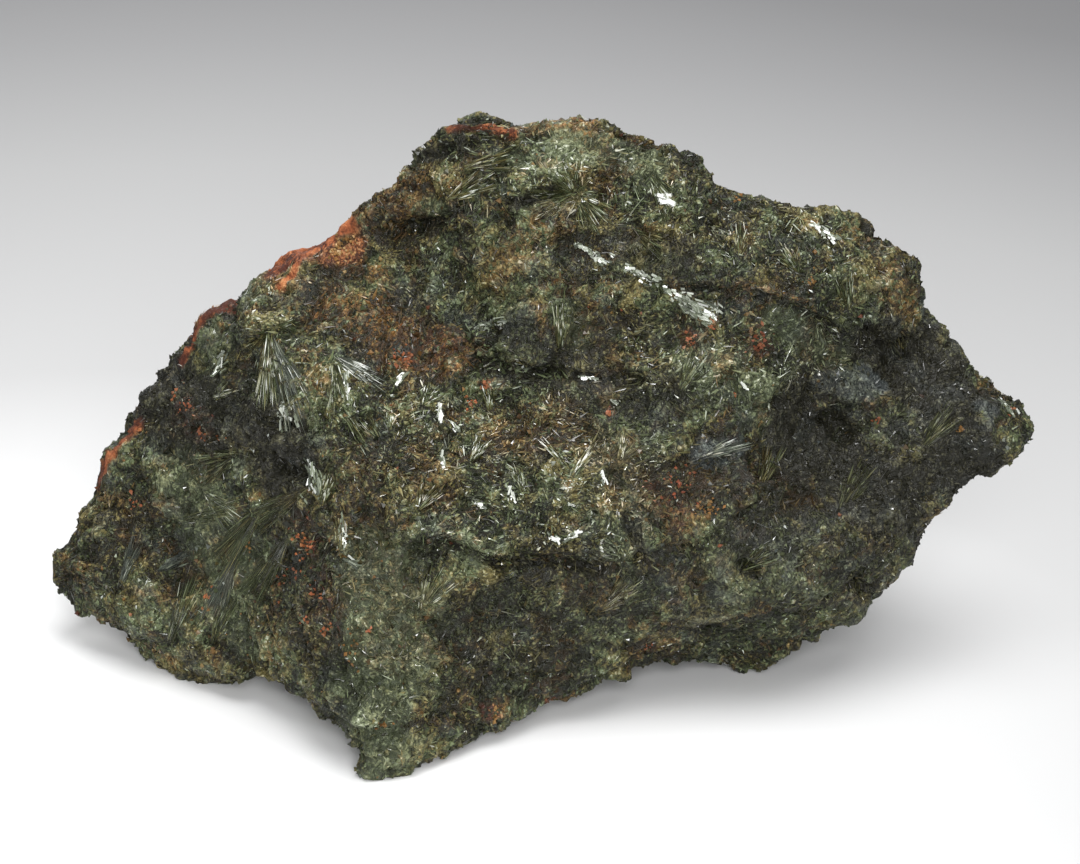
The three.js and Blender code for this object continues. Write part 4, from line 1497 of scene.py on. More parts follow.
SPRAYS = on_sides(Spray, {
    Side.FRONT: (
        ((-27.3, 10.2), 272, 15, 10.5, 260, 0.68, 0.14),
        ((-27.0, 9.8), 291, 10, 11.0, 170, 0.62, 0.13, StainAndPaintedLight.STEEL),
        ((-27.4, 10.0), 210, 40, 4.0, 60, 0.5, 0.14),
        ((-26.6, 10.6), 0, 30, 3.0, 40, 0.45, 0.14),
        ((-20.9, 7.7), 332, 9, 6.6, 90, 0.8, 0.14, StainAndPaintedLight.STEEL),
        ((-20.8, 7.4), 277, 13, 6.5, 90, 0.62, 0.16),
        ((-20.0, 2.5), 305, 10, 6.0, 50, 0.66, 0.16),
        ((3.5, 24.0), 200, 24, 7.0, 90, 0.5, 0.14),
        ((3.5, 24.0), 312, 30, 5.5, 90, 0.6, 0.14),
        ((3.5, 24.0), 20, 40, 3.6, 40, 0.5, 0.14),
        ((3.5, 24.0), 120, 50, 4.2, 70, 0.55, 0.14),
        ((2.0, 7.5), 88, 11, 7.0, 80, 0.56, 0.16),
        ((-9.5, 23.2), 30, 16, 6.5, 80, 0.65, 0.16),
        ((-8.0, 26.5), 10, 14, 7.0, 70, 0.6, 0.16),
        ((3.2, -4.6), 55, 7, 6.0, 36, 0.85, 0.22),
        ((3.0, -3.8), 140, 9, 4.6, 30, 0.85, 0.16),
        ((-22.0, -7.6), 75, 16, 4.2, 60, 0.62, 0.24),
        ((-20.0, -12.2), 95, 8, 4.6, 40, 0.6, 0.16),
        ((-33.0, 3.4), 35, 25, 3.6, 40, 0.7, 0.16),
        ((-38.5, -14.0), 25, 12, 5.2, 40, 0.3, 0.34, StainAndPaintedLight.STEEL),
        ((-37.3, -21.5), 73, 9, 9.0, 110, 0.45, 0.14),
        ((-42.4, -16.0), 68, 8, 7.5, 60, 0.42, 0.14, StainAndPaintedLight.STEEL),
        ((-36.0, -8.8), 14, 8, 7.5, 90, 0.42, 0.14),
        ((-33.0, -21.5), 70, 10, 8.0, 80, 0.45, 0.16),
        ((-23.0, -5.5), 212, 12, 9.0, 220, 0.3, 0.11),
        ((-27.5, -7.0), 232, 12, 10.0, 240, 0.3, 0.11),
        ((-25.0, -10.0), 240, 12, 10.0, 200, 0.28, 0.11),
        ((-30.5, -12.5), 246, 11, 9.0, 200, 0.34, 0.11, StainAndPaintedLight.STEEL),
        ((-30.0, -2.0), 200, 24, 6.0, 60, 0.4, 0.16),
        ((-34.0, -6.0), 320, 20, 6.0, 60, 0.45, 0.16),
        ((9.0, 20.5), 330, 20, 5.0, 50, 0.5, 0.16),
        ((11.0, 26.0), 300, 26, 5.5, 60, 0.55, 0.16),
        ((20.0, 17.5), 80, 16, 4.6, 50, 0.6, 0.16),
        ((26.0, 16.0), 120, 24, 5.0, 50, 0.55, 0.16),
        ((31.0, 12.0), 100, 24, 5.0, 50, 0.5, 0.16),
        ((16.0, -2.6), 20, 12, 6.0, 50, 0.5, 0.24, StainAndPaintedLight.STEEL),
        ((14.0, 4.0), 60, 24, 6.0, 50, 0.5, 0.16),
        ((22.0, -6.0), 70, 14, 7.0, 70, 0.42, 0.16),
        ((30.0, -8.0), 60, 22, 7.0, 60, 0.35, 0.16),
        ((38.0, -2.0), 50, 16, 7.0, 60, 0.4, 0.16),
        ((20.0, -14.0), 30, 20, 6.0, 50, 0.42, 0.16),
        ((6.0, -18.0), 40, 24, 6.0, 50, 0.42, 0.16),
        ((-12.0, -18.0), 60, 24, 6.0, 60, 0.5, 0.16),
        ((-7.0, -3.0), 70, 30, 3.6, 50, 0.8, 0.16),
        ((-12.5, -8.0), 55, 24, 4.2, 50, 0.72, 0.16),
        ((-1.5, -6.5), 110, 30, 4.0, 50, 0.75, 0.16),
        ((8.0, -3.0), 60, 30, 4.0, 50, 0.65, 0.16),
        ((-16.0, -1.0), 130, 20, 4.4, 40, 0.7, 0.16),
        ((-12.0, 2.5), 50, 26, 3.4, 40, 0.75, 0.16),
        ((-5.0, 2.0), 100, 26, 3.4, 40, 0.75, 0.16),
    ),
    Side.BACK: (
        ((-6.0, 16.0), 250, 24, 7.0, 90, 0.62, 0.16),
        ((-6.0, 16.0), 60, 60, 6.0, 90, 0.5, 0.16),
        ((12.0, 10.0), 300, 16, 8.0, 80, 0.6, 0.16),
        ((14.0, 2.0), 200, 20, 7.0, 60, 0.55, 0.16),
        ((-20.0, 6.0), 280, 22, 8.0, 90, 0.6, 0.16),
        ((-28.0, 0.0), 30, 14, 6.0, 50, 0.6, 0.16),
        ((2.0, -6.0), 60, 12, 7.0, 60, 0.6, 0.16),
        ((22.0, -6.0), 100, 20, 6.0, 60, 0.55, 0.16),
        ((4.0, 22.0), 340, 18, 6.0, 60, 0.65, 0.16),
        ((-14.0, -8.0), 45, 14, 6.0, 50, 0.5, 0.16),
        ((8.0, -12.0), 80, 20, 5.0, 50, 0.5, 0.16),
        ((-34.0, -8.0), 70, 16, 6.0, 50, 0.45, 0.16),
        ((30.0, -12.0), 60, 20, 6.0, 50, 0.45, 0.16),
    ),
    Side.RIGHT: (
        ((9.0, 12.0), 280, 24, 8.0, 80, 0.6, 0.16),
        ((14.0, 4.0), 240, 16, 6.0, 60, 0.55, 0.16),
        ((10.0, -10.0), 60, 20, 6.0, 50, 0.45, 0.16),
    ),
    Side.LEFT: (
        ((-14.0, -2.0), 270, 24, 7.0, 80, 0.55, 0.16),
        ((-8.0, -8.0), 150, 20, 6.0, 60, 0.5, 0.16),
        ((-18.0, -10.0), 80, 20, 6.0, 50, 0.45, 0.16),
    ),
})


@dataclass
class SprayBed(Growth):
    """All the larger sprays, as one piece of long crystals that hug the stone.

    Args:
        sprays: the fans.
        bundle: about how many crystals of a fan lie in one bundle.
        tries: how many crystals are tried for each one in the row; the rest make up for misses.
        depth: how far out the roots start, in millimetres.
        lift: how far out the tips stand.
        swing: how far a crystal turns from its bundle's heading, in degrees.
        wobble: how far it starts from the bundle's line.
        shortest: the least length seen from the side.
        longest: the most that it may span on the skin, in the spray's lengths.
        staining: how full the spray's stain is.
    """

    name: str = "long_sprays"
    seed: int = 201
    sprays: tuple[Spray, ...] = SPRAYS
    bundle: int = 6
    tries: int = 4
    depth: float = 0.05
    lift: Range = Range(0.08, 0.4)
    swing: float = 2.4
    wobble: float = 0.13
    shortest: float = 0.8
    longest: float = 1.8
    staining: float = 0.5

    def draft(self, mass: StoneMass, rng: np.random.Generator) -> Draft:
        """The crystals, each laid over the skin in a bundle that fans from its spray's mark."""
        roots, tips, outs, widths, tones, stains_and_light = [], [], [], [], [], []
        for spray in self.sprays:
            outlook = Outlook(spray.side.value)
            bundles = max(4, round(spray.count / self.bundle))
            headings = spray.heading + spray.fan * rng.uniform(-1.0, 1.0, bundles)
            firsts = spray.length * 0.3 * rng.random(bundles) ** 1.5
            lasts = spray.length * rng.uniform(0.5, 1.0, bundles)
            brights = spray.tone * rng.uniform(0.35, 1.2, bundles)
            for number in rng.integers(0, bundles, self.tries * spray.count):
                turn = math.radians(headings[number] + rng.normal(0.0, self.swing))
                span = lasts[number] - firsts[number]
                start = firsts[number] + span * 0.75 * rng.beta(1.0, 1.8)
                reach = min(start + span * rng.uniform(0.15, 0.45), lasts[number] * 1.05)
                foot = spray.mark + rng.normal(0.0, self.wobble, 2)
                run = np.array([math.cos(turn), math.sin(turn)])
                ends = [
                    mass.skin.cast(outlook, *(foot + run * far))
                    for far in (start, max(reach, start + self.shortest))
                ]
                if None in ends or (ends[1] - ends[0]).length > self.longest * spray.length:
                    continue
                roots.append(ends[0])
                tips.append(ends[1])
                outs.append(outlook.axes()[2])
                widths.append(spray.width * rng.uniform(0.3, 0.9))
                tones.append(brights[number] * (0.1 + 1.5 * rng.random() ** 2.0))
                stains_and_light.append(spray.stain)
        roots, tips, outs = np.array(roots), np.array(tips), np.array(outs)
        lift = self.lift.draw(rng, len(roots))[:, None]
        # The stains, painted light and painted shade where the roots lie, at about a third.
        layers = {key: 0.35 * values for key, values in mass.colouring.at(roots).items()}
        for stain in StainAndPaintedLight:
            worn = np.array([kind is stain for kind in stains_and_light])
            layers[stain.value] = np.where(worn, self.staining, layers[stain.value])
        layers["tone"] = np.clip(np.array(tones), DARKEST, 1.0)
        layers["warmth"] = np.clip(rng.normal(0.35, 0.3, len(roots)), 0.0, 1.0)
        layers["gloss"] = rng.random(len(roots))
        widths = np.array(widths)
        draft = needle_draft(roots + outs * self.depth, tips + outs * lift, outs, widths, layers)
        draft.layers["along"] *= 1.4
        return draft


@dataclass(frozen=True)
class LathRow:
    """A row of flat crystals, end to end like broken glass, painted near white as their glint.

    Args:
        start, end: the marks that it runs between.
        count: how many laths.
        length, width: of a lath, in millimetres.
        spread: how wide the row is at its end, in millimetres.
        tone: how bright the brightest painted glint is; over 1, more of them are as bright as can
            be.
        side: the side that the marks are on.
    """

    start: Mark
    end: Mark
    count: int
    length: float
    width: float
    spread: float
    tone: float = 0.95
    side: Side = Side.FRONT


LATH_ROWS = on_sides(LathRow, {
    Side.FRONT: (
        ((3.6, 18.9), (7.0, 16.9), 46, 0.6, 0.22, 1.0),
        ((8.6, 16.5), (12.0, 14.9), 52, 0.6, 0.22, 1.0),
        ((12.3, 14.5), (14.2, 13.6), 24, 0.55, 0.22, 0.9),
        ((14.0, 13.5), (17.5, 11.3), 130, 1.1, 0.18, 2.2, 0.8),
        ((11.9, 23.8), (12.9, 23.7), 6, 1.3, 0.42, 0.2, 2.6),
        ((12.1, 23.2), (13.3, 23.0), 7, 1.1, 0.36, 0.3, 1.6),
        ((27.3, 21.0), (30.0, 19.3), 26, 0.9, 0.28, 0.5, 1.3),
        ((-25.8, 2.6), (-25.3, 0.3), 20, 1.3, 0.3, 1.5, 0.8),
        ((4.0, 5.5), (5.6, 5.3), 10, 0.9, 0.26, 0.3, 1.6),
        ((-19.6, 6.6), (-19.5, 3.4), 22, 1.1, 0.17, 0.7, 1.1),
        ((-14.4, 5.0), (-13.7, 5.9), 12, 0.9, 0.26, 0.6, 1.3),
        ((-10.1, 2.8), (-10.0, 1.0), 10, 0.9, 0.24, 0.3, 1.5),
        ((-8.9, 1.0), (-8.2, 0.2), 9, 0.8, 0.22, 0.4, 1.4),
        ((-9.9, -2.2), (-9.7, -3.4), 10, 0.9, 0.24, 0.3, 1.6),
        ((1.0, -10.4), (1.8, -10.9), 9, 1.0, 0.28, 0.6, 1.5),
        ((2.6, -10.8), (3.8, -10.0), 10, 1.0, 0.26, 0.5, 1.5),
        ((-3.2, -5.4), (-2.6, -6.8), 9, 0.9, 0.22, 0.3, 1.4),
        ((6.2, -4.0), (6.6, -5.2), 8, 0.8, 0.22, 0.3, 1.4),
        ((-6.5, -7.0), (-5.6, -7.6), 8, 0.8, 0.22, 0.4, 1.3),
        ((-19.9, -8.4), (-19.6, -11.6), 24, 1.1, 0.17, 0.8, 0.6),
        ((-19.6, -12.8), (-18.2, -13.4), 16, 0.9, 0.2, 0.8, 0.6),
        ((-23.2, -3.0), (-22.2, -6.6), 50, 1.3, 0.18, 1.8, 0.55),
        ((20.3, 4.9), (20.8, 4.2), 9, 0.7, 0.18, 0.5),
        ((7.2, 3.2), (7.8, 2.9), 8, 0.6, 0.16, 0.3),
        ((-6.4, 10.6), (-3.6, 11.2), 24, 0.9, 0.18, 0.8, 0.75),
        ((-33.0, 5.6), (-31.4, 7.6), 20, 1.1, 0.2, 1.1, 0.6),
        ((46.2, 3.6), (47.6, 1.6), 22, 0.8, 0.2, 0.9, 0.5),
    ),
    Side.BACK: (
        ((-4.0, 8.0), (1.0, 5.0), 50, 1.0, 0.18, 0.9, 0.9),
        ((16.0, 14.0), (17.5, 13.0), 16, 1.2, 0.2, 0.8, 0.9),
        ((-22.0, -2.0), (-21.0, -4.0), 18, 1.1, 0.2, 0.8, 0.8),
        ((6.0, -8.0), (7.2, -7.6), 10, 0.9, 0.2, 0.5, 0.9),
        ((-12.0, 20.0), (-10.0, 20.4), 16, 1.0, 0.18, 0.6, 0.9),
    ),
    Side.RIGHT: (
        ((8.0, 6.0), (9.0, 4.0), 16, 1.1, 0.18, 0.6, 0.9),
    ),
    Side.LEFT: (
        ((-13.0, -3.0), (-13.6, -5.0), 16, 1.1, 0.18, 0.6, 0.9),
        ((-13.0, -5.0), (-12.2, -5.4), 10, 0.9, 0.18, 0.5, 0.9),
    ),
})


@dataclass
class LathBed(Growth):
    """All the flat crystals, painted near white as their glints, as one piece.

    Args:
        rows: where they lie.
        depth: how far out of the skin their middles lie, in millimetres.
        thickness: half of a lath's, as a share of its width.
        swing: how far a lath turns from its row's line, in radians.
        tip: how far it leans out of the skin's plane.
        longest: the most that it may span on the skin, in its own lengths.
    """

    name: str = "bright_laths"
    seed: int = 301
    rows: tuple[LathRow, ...] = LATH_ROWS
    depth: float = 0.12
    thickness: float = 0.35
    swing: float = 0.3
    tip: float = 0.35
    longest: float = 2.0

    def draft(self, mass: StoneMass, rng: np.random.Generator) -> Draft:
        """The laths, each laid on the skin where its row runs."""
        starts, ends, outs, widths, tones = [], [], [], [], []
        for row in self.rows:
            outlook = Outlook(row.side.value)
            _, _, back = outlook.axes()
            run = np.subtract(row.end, row.start)
            heading = math.atan2(run[1], run[0])
            across = np.array([-math.sin(heading), math.cos(heading)])
            for number in range(row.count):
                share = (number + rng.random()) / row.count
                off = rng.normal(0.0, 0.35 * row.spread * (0.4 + 0.6 * share))
                middle = np.array(row.start) + run * share + across * off
                turn = heading + rng.normal(0.0, self.swing)
                half = np.array([math.cos(turn), math.sin(turn)]) * row.length * 0.5
                half *= rng.uniform(0.5, 1.1)
                tail = mass.skin.cast(outlook, *(middle - half))
                head = mass.skin.cast(outlook, *(middle + half))
                if tail is None or head is None:
                    continue
                if (head - tail).length > self.longest * row.length:
                    continue
                starts.append(tail + back * self.depth)
                ends.append(head + back * self.depth)
                outs.append(np.array(back) + rng.normal(0.0, self.tip, 3))
                widths.append(row.width * rng.uniform(0.6, 1.2))
                # Painted glint: each lath's tone is near white.
                tones.append(row.tone * rng.uniform(0.2, 1.0))
        starts, ends, widths = np.array(starts), np.array(ends), np.array(widths)
        side = unit(np.cross(ends - starts, np.array(outs)))
        rise = unit(np.cross(side, ends - starts))
        wide = side * widths[:, None] * 0.5
        thick = rise * widths[:, None] * self.thickness
        slant = (ends - starts) * rng.uniform(0.0, 0.2, (len(starts), 1))
        corners = (
            starts - wide - thick,
            starts + wide - thick + slant,
            starts + wide + thick + slant,
            starts - wide + thick,
            ends - wide - thick - slant,
            ends + wide - thick,
            ends + wide + thick,
            ends - wide + thick - slant,
        )
        layers = {stain.value: np.zeros(len(starts)) for stain in StainAndPaintedLight}
        layers["steel"] = np.full(len(starts), 0.4)
        layers["warmth"] = np.full(len(starts), 0.3)
        layers["gloss"] = np.ones(len(starts))
        layers["tone"] = np.clip(tones, 0.0, 1.0)
        return LATH.draft(np.stack(corners, axis=1), layers)


# ---- finishes -----------------------------------------------------------------------------------


class NodeBoard:
    """A node tree with short calls for adding and joining nodes."""

    def __init__(self, tree: bpy.types.NodeTree) -> None:
        """Empties the tree."""
        self.tree = tree
        tree.nodes.clear()

    def feed(self, value: Feed, socket: Socket) -> None:
        """Joins a socket to another socket, or sets it to a plain value."""
        if isinstance(value, Socket):
            self.tree.links.new(value, socket)
        else:
            socket.default_value = value

    def add(
        self, kind: str, given: dict[str, Feed] | None = None, **settings: object
    ) -> bpy.types.Node:
        """Adds a node.

        Args:
            kind: its type.
            given: what feeds its inputs, by name.
            settings: its own settings.

        Returns:
            The node.
        """
        node = self.tree.nodes.new(kind)
        for key, value in settings.items():
            setattr(node, key, value)
        for name, value in (given or {}).items():
            self.feed(value, node.inputs[name])
        return node

    def ramp(self, value: Socket, stops: Ramp) -> Socket:
        """Adds a colour ramp.

        Args:
            value: what feeds it.
            stops: the place and linear colour of each stop.

        Returns:
            The colour.
        """
        node = self.add("ShaderNodeValToRGB", {"Fac": value})
        band = node.color_ramp
        while len(band.elements) < len(stops):
            band.elements.new(0.5)
        for element, (place, colour) in zip(band.elements, stops, strict=True):
            element.position = place
            element.color = (*colour, 1.0)
        return node.outputs["Color"]

    def mix(self, factor: Feed, under: Feed, over: Feed) -> Socket:
        """The over colour, laid on the under colour by the factor."""
        given = {"Factor": factor, "A": under, "B": over}
        return self.add("ShaderNodeMix", given, data_type="RGBA").outputs["Result"]

    def maths(self, kind: str, *values: Feed) -> Socket:
        """A maths node on sockets or numbers."""
        node = self.add("ShaderNodeMath", operation=kind)
        for value, socket in zip(values, node.inputs, strict=False):
            self.feed(value, socket)
        return node.outputs["Value"]

    def total(self, base: Feed, *terms: tuple[Feed, Feed]) -> Socket:
        """The base plus each term's value times its weight."""
        for value, weight in terms:
            base = self.maths("MULTIPLY_ADD", value, weight, base)
        return base

    def clamped(self, value: Socket) -> Socket:
        """The value held between 0 and 1."""
        return self.add("ShaderNodeClamp", {"Value": value}).outputs["Result"]

    def vectors(
        self, kind: str, *values: Feed, scale: Feed | None = None, out: str = "Vector"
    ) -> Socket:
        """Adds a vector maths node.

        Args:
            kind: its operation.
            values: what feeds its vectors, in turn.
            scale: what feeds its scale, if it has one.
            out: the name of the output.

        Returns:
            The output.
        """
        node = self.add("ShaderNodeVectorMath", operation=kind)
        for value, socket in zip(values, node.inputs, strict=False):
            self.feed(value, socket)
        if scale is not None:
            self.feed(scale, node.inputs["Scale"])
        return node.outputs[out]

    def noise(
        self, place: Socket, scale: float, detail: float, out: str = "Fac"
    ) -> Socket:
        """Noise of this scale, in turns to a metre of the place."""
        given = {"Vector": place, "Scale": scale, "Detail": detail}
        return self.add("ShaderNodeTexNoise", given).outputs[out]

    def cells(self, place: Socket) -> bpy.types.NodeOutputs:
        """Random cells about one unit wide."""
        return self.add("ShaderNodeTexVoronoi", {"Vector": place, "Scale": 1.0}).outputs

    def layer(self, name: str) -> Socket:
        """The value that the mesh holds under this name."""
        return self.add("ShaderNodeAttribute", attribute_name=name).outputs["Fac"]

    def surface(self, given: dict[str, Feed]) -> None:
        """Ends a material in a Principled shader, its inputs fed by name."""
        shader = self.add("ShaderNodeBsdfPrincipled", given)
        self.add("ShaderNodeOutputMaterial", {"Surface": shader.outputs["BSDF"]})


def new_material(name: str) -> tuple[bpy.types.Material, NodeBoard]:
    """A material and the board of its empty node tree."""
    material = bpy.data.materials.new(name)
    material.use_nodes = True
    return material, NodeBoard(material.node_tree)


def new_group(
    name: str, taken: dict[str, str], given: dict[str, str]
) -> tuple[bpy.types.NodeTree, NodeBoard, bpy.types.NodeOutputs]:
    """An empty node group.

    Args:
        name: the group's name.
        taken: the kind of each input, by name.
        given: the kind of each output, by name.

    Returns:
        The group, its board and what comes in through its inputs.
    """
    tree = bpy.data.node_groups.new(name, "ShaderNodeTree")
    for way, sockets in (("INPUT", taken), ("OUTPUT", given)):
        for key, kind in sockets.items():
            tree.interface.new_socket(key, in_out=way, socket_type=f"NodeSocket{kind}")
    board = NodeBoard(tree)
    return tree, board, board.add("NodeGroupInput").outputs


FELT_COOL: Ramp = (
    (0.0, (0.007, 0.0085, 0.003)),
    (0.25, (0.052, 0.065, 0.027)),
    (0.5, (0.154, 0.188, 0.092)),
    (0.75, (0.39, 0.43, 0.33)),
    (1.0, (0.88, 0.9, 0.84)),
)
FELT_WARM: Ramp = (
    (0.0, (0.012, 0.009, 0.003)),
    (0.25, (0.105, 0.086, 0.027)),
    (0.5, (0.265, 0.225, 0.09)),
    (0.75, (0.48, 0.445, 0.3)),
    (1.0, (0.9, 0.88, 0.8)),
)
STAIN_AND_SHADE_RAMPS: dict[StainAndPaintedLight, Ramp] = {
    StainAndPaintedLight.PALE: (
        (0.0, (0.05, 0.062, 0.03)), (0.5, (0.24, 0.275, 0.155)), (1.0, (0.75, 0.77, 0.62)),
    ),
    StainAndPaintedLight.RUST: (
        (0.0, (0.045, 0.021, 0.006)), (0.4, (0.27, 0.125, 0.035)), (1.0, (0.8, 0.55, 0.28)),
    ),
    # Painted shade: a dark brown-grey laid where shade falls.
    StainAndPaintedLight.PAINTED_SHADE: (
        (0.0, (0.009, 0.0085, 0.004)), (0.5, (0.098, 0.094, 0.053)), (1.0, (0.6, 0.59, 0.5)),
    ),
    StainAndPaintedLight.STEEL: (
        (0.0, (0.03, 0.037, 0.037)), (0.5, (0.2, 0.222, 0.21)), (1.0, (0.88, 0.9, 0.88)),
    ),
    StainAndPaintedLight.RED: (
        (0.0, (0.08, 0.022, 0.012)), (0.4, (0.34, 0.09, 0.04)), (1.0, (0.85, 0.45, 0.3)),
    ),
    StainAndPaintedLight.CRUST: (
        (0.0, (0.07, 0.018, 0.008)), (0.35, (0.38, 0.115, 0.042)), (1.0, (0.78, 0.42, 0.18)),
    ),
}


def stone_colour_group() -> bpy.types.NodeTree:
    """A group that turns a tone, a warmth and the strengths of the stains and of the painted shade
    into the stone's colour.
    """
    names = ("Tone", "Warmth", *(stain.name.title() for stain in STAIN_AND_SHADE_RAMPS))
    tree, board, given = new_group(
        "StoneColour", dict.fromkeys(names, "Float"), {"Colour": "Color"}
    )
    cool = board.ramp(given["Tone"], FELT_COOL)
    warm = board.ramp(given["Tone"], FELT_WARM)
    colour = board.mix(given["Warmth"], cool, warm)
    for stain, stops in STAIN_AND_SHADE_RAMPS.items():
        over = board.ramp(given["Tone"], stops)
        colour = board.mix(given[stain.name.title()], colour, over)
    board.add("NodeGroupOutput", {"Colour": colour})
    return tree


def blade_group() -> bpy.types.NodeTree:
    """A group for matted blades: the ground is split in tufts, each combed its own way.

    The inputs are a Vector in metres, the Tufts to a metre, the Blades across a tuft and how Slim
    they are, 1 being as wide as long. The outputs are Gap, from 0 between blades to 1 on them;
    Tilt, a height that leans each blade its own way; Tone and Hue, chance values for each blade;
    and Tuft, a chance value for each tuft.
    """
    taken = {"Vector": "Vector", "Tufts": "Float", "Blades": "Float", "Slim": "Float"}
    names = ("Gap", "Tilt", "Tone", "Hue", "Tuft")
    tree, board, given = new_group("MattedBlades", taken, dict.fromkeys(names, "Float"))
    place = board.vectors("SCALE", given["Vector"], scale=given["Tufts"])
    sway = board.noise(place, 1.6, 3.0, "Color")
    bent = board.vectors("MULTIPLY_ADD", sway, (0.8, 0.8, 0.8), place)
    tuft = board.cells(bent)
    away = board.vectors("SUBTRACT", bent, tuft["Position"])
    turn = board.vectors("SCALE", tuft["Color"], scale=6.28)
    combed = board.add(
        "ShaderNodeVectorRotate", {"Vector": away, "Rotation": turn}, rotation_type="EULER_XYZ"
    )
    shrink = board.add("ShaderNodeCombineXYZ", {"X": given["Slim"], "Y": 1.0, "Z": 1.0})
    slim = board.vectors("MULTIPLY", combed.outputs["Vector"], shrink.outputs["Vector"])
    apart = board.vectors("MULTIPLY_ADD", tuft["Color"], (9.0, 9.0, 9.0), slim)
    blades = board.vectors("SCALE", apart, scale=given["Blades"])
    blade = board.cells(blades)
    off = board.vectors("SUBTRACT", blades, blade["Position"])
    lean = board.vectors("SUBTRACT", blade["Color"], (0.5, 0.5, 0.5))
    gap = board.add(
        "ShaderNodeMapRange",
        {"Value": blade["Distance"], "From Min": 0.75, "From Max": 0.4},
        interpolation_type="SMOOTHSTEP",
    )
    split = board.add("ShaderNodeSeparateColor", {"Color": blade["Color"]}).outputs
    chance = board.add("ShaderNodeSeparateColor", {"Color": tuft["Color"]}).outputs
    board.add("NodeGroupOutput", {
        "Gap": gap.outputs["Result"],
        "Tilt": board.vectors("DOT_PRODUCT", off, lean, out="Value"),
        "Tone": split["Red"],
        "Hue": split["Green"],
        "Tuft": chance["Blue"],
    })
    return tree


@dataclass(frozen=True)
class NeedleFinish:
    """Silky crystals, darker at the root, some of them glossy.

    Args:
        group: the stone's colours.
        specular: how bright the reflections are under the coat.
        coat_roughness, coat_ior: of the gloss that some crystals have.
    """

    group: bpy.types.NodeTree
    name: str = "needle_silk"
    specular: float = 0.3
    coat_roughness: float = 0.14
    coat_ior: float = 1.65

    def material(self) -> bpy.types.Material:
        """The finish's material, made once."""
        if self.name in bpy.data.materials:
            return bpy.data.materials[self.name]
        material, board = new_material(self.name)
        warmth = board.total(board.layer("warmth"), (board.layer("along"), -0.3))
        fade = board.total(0.7, (board.layer("along"), 0.4))
        given = {stain.name.title(): board.layer(stain.value) for stain in STAIN_AND_SHADE_RAMPS}
        given["Warmth"] = board.maths("MAXIMUM", warmth, 0.0)
        given["Tone"] = board.maths("MULTIPLY", board.layer("tone"), fade)
        colour = board.add("ShaderNodeGroup", node_tree=self.group)
        for name, value in given.items():
            board.feed(value, colour.inputs[name])
        board.surface({
            "Base Color": colour.outputs["Colour"],
            "Roughness": board.total(0.62, (board.layer("gloss"), -0.52)),
            "Specular IOR Level": self.specular,
            "Coat Weight": board.clamped(board.total(-0.25, (board.layer("gloss"), 1.3))),
            "Coat Roughness": self.coat_roughness,
            "Coat IOR": self.coat_ior,
        })
        return material


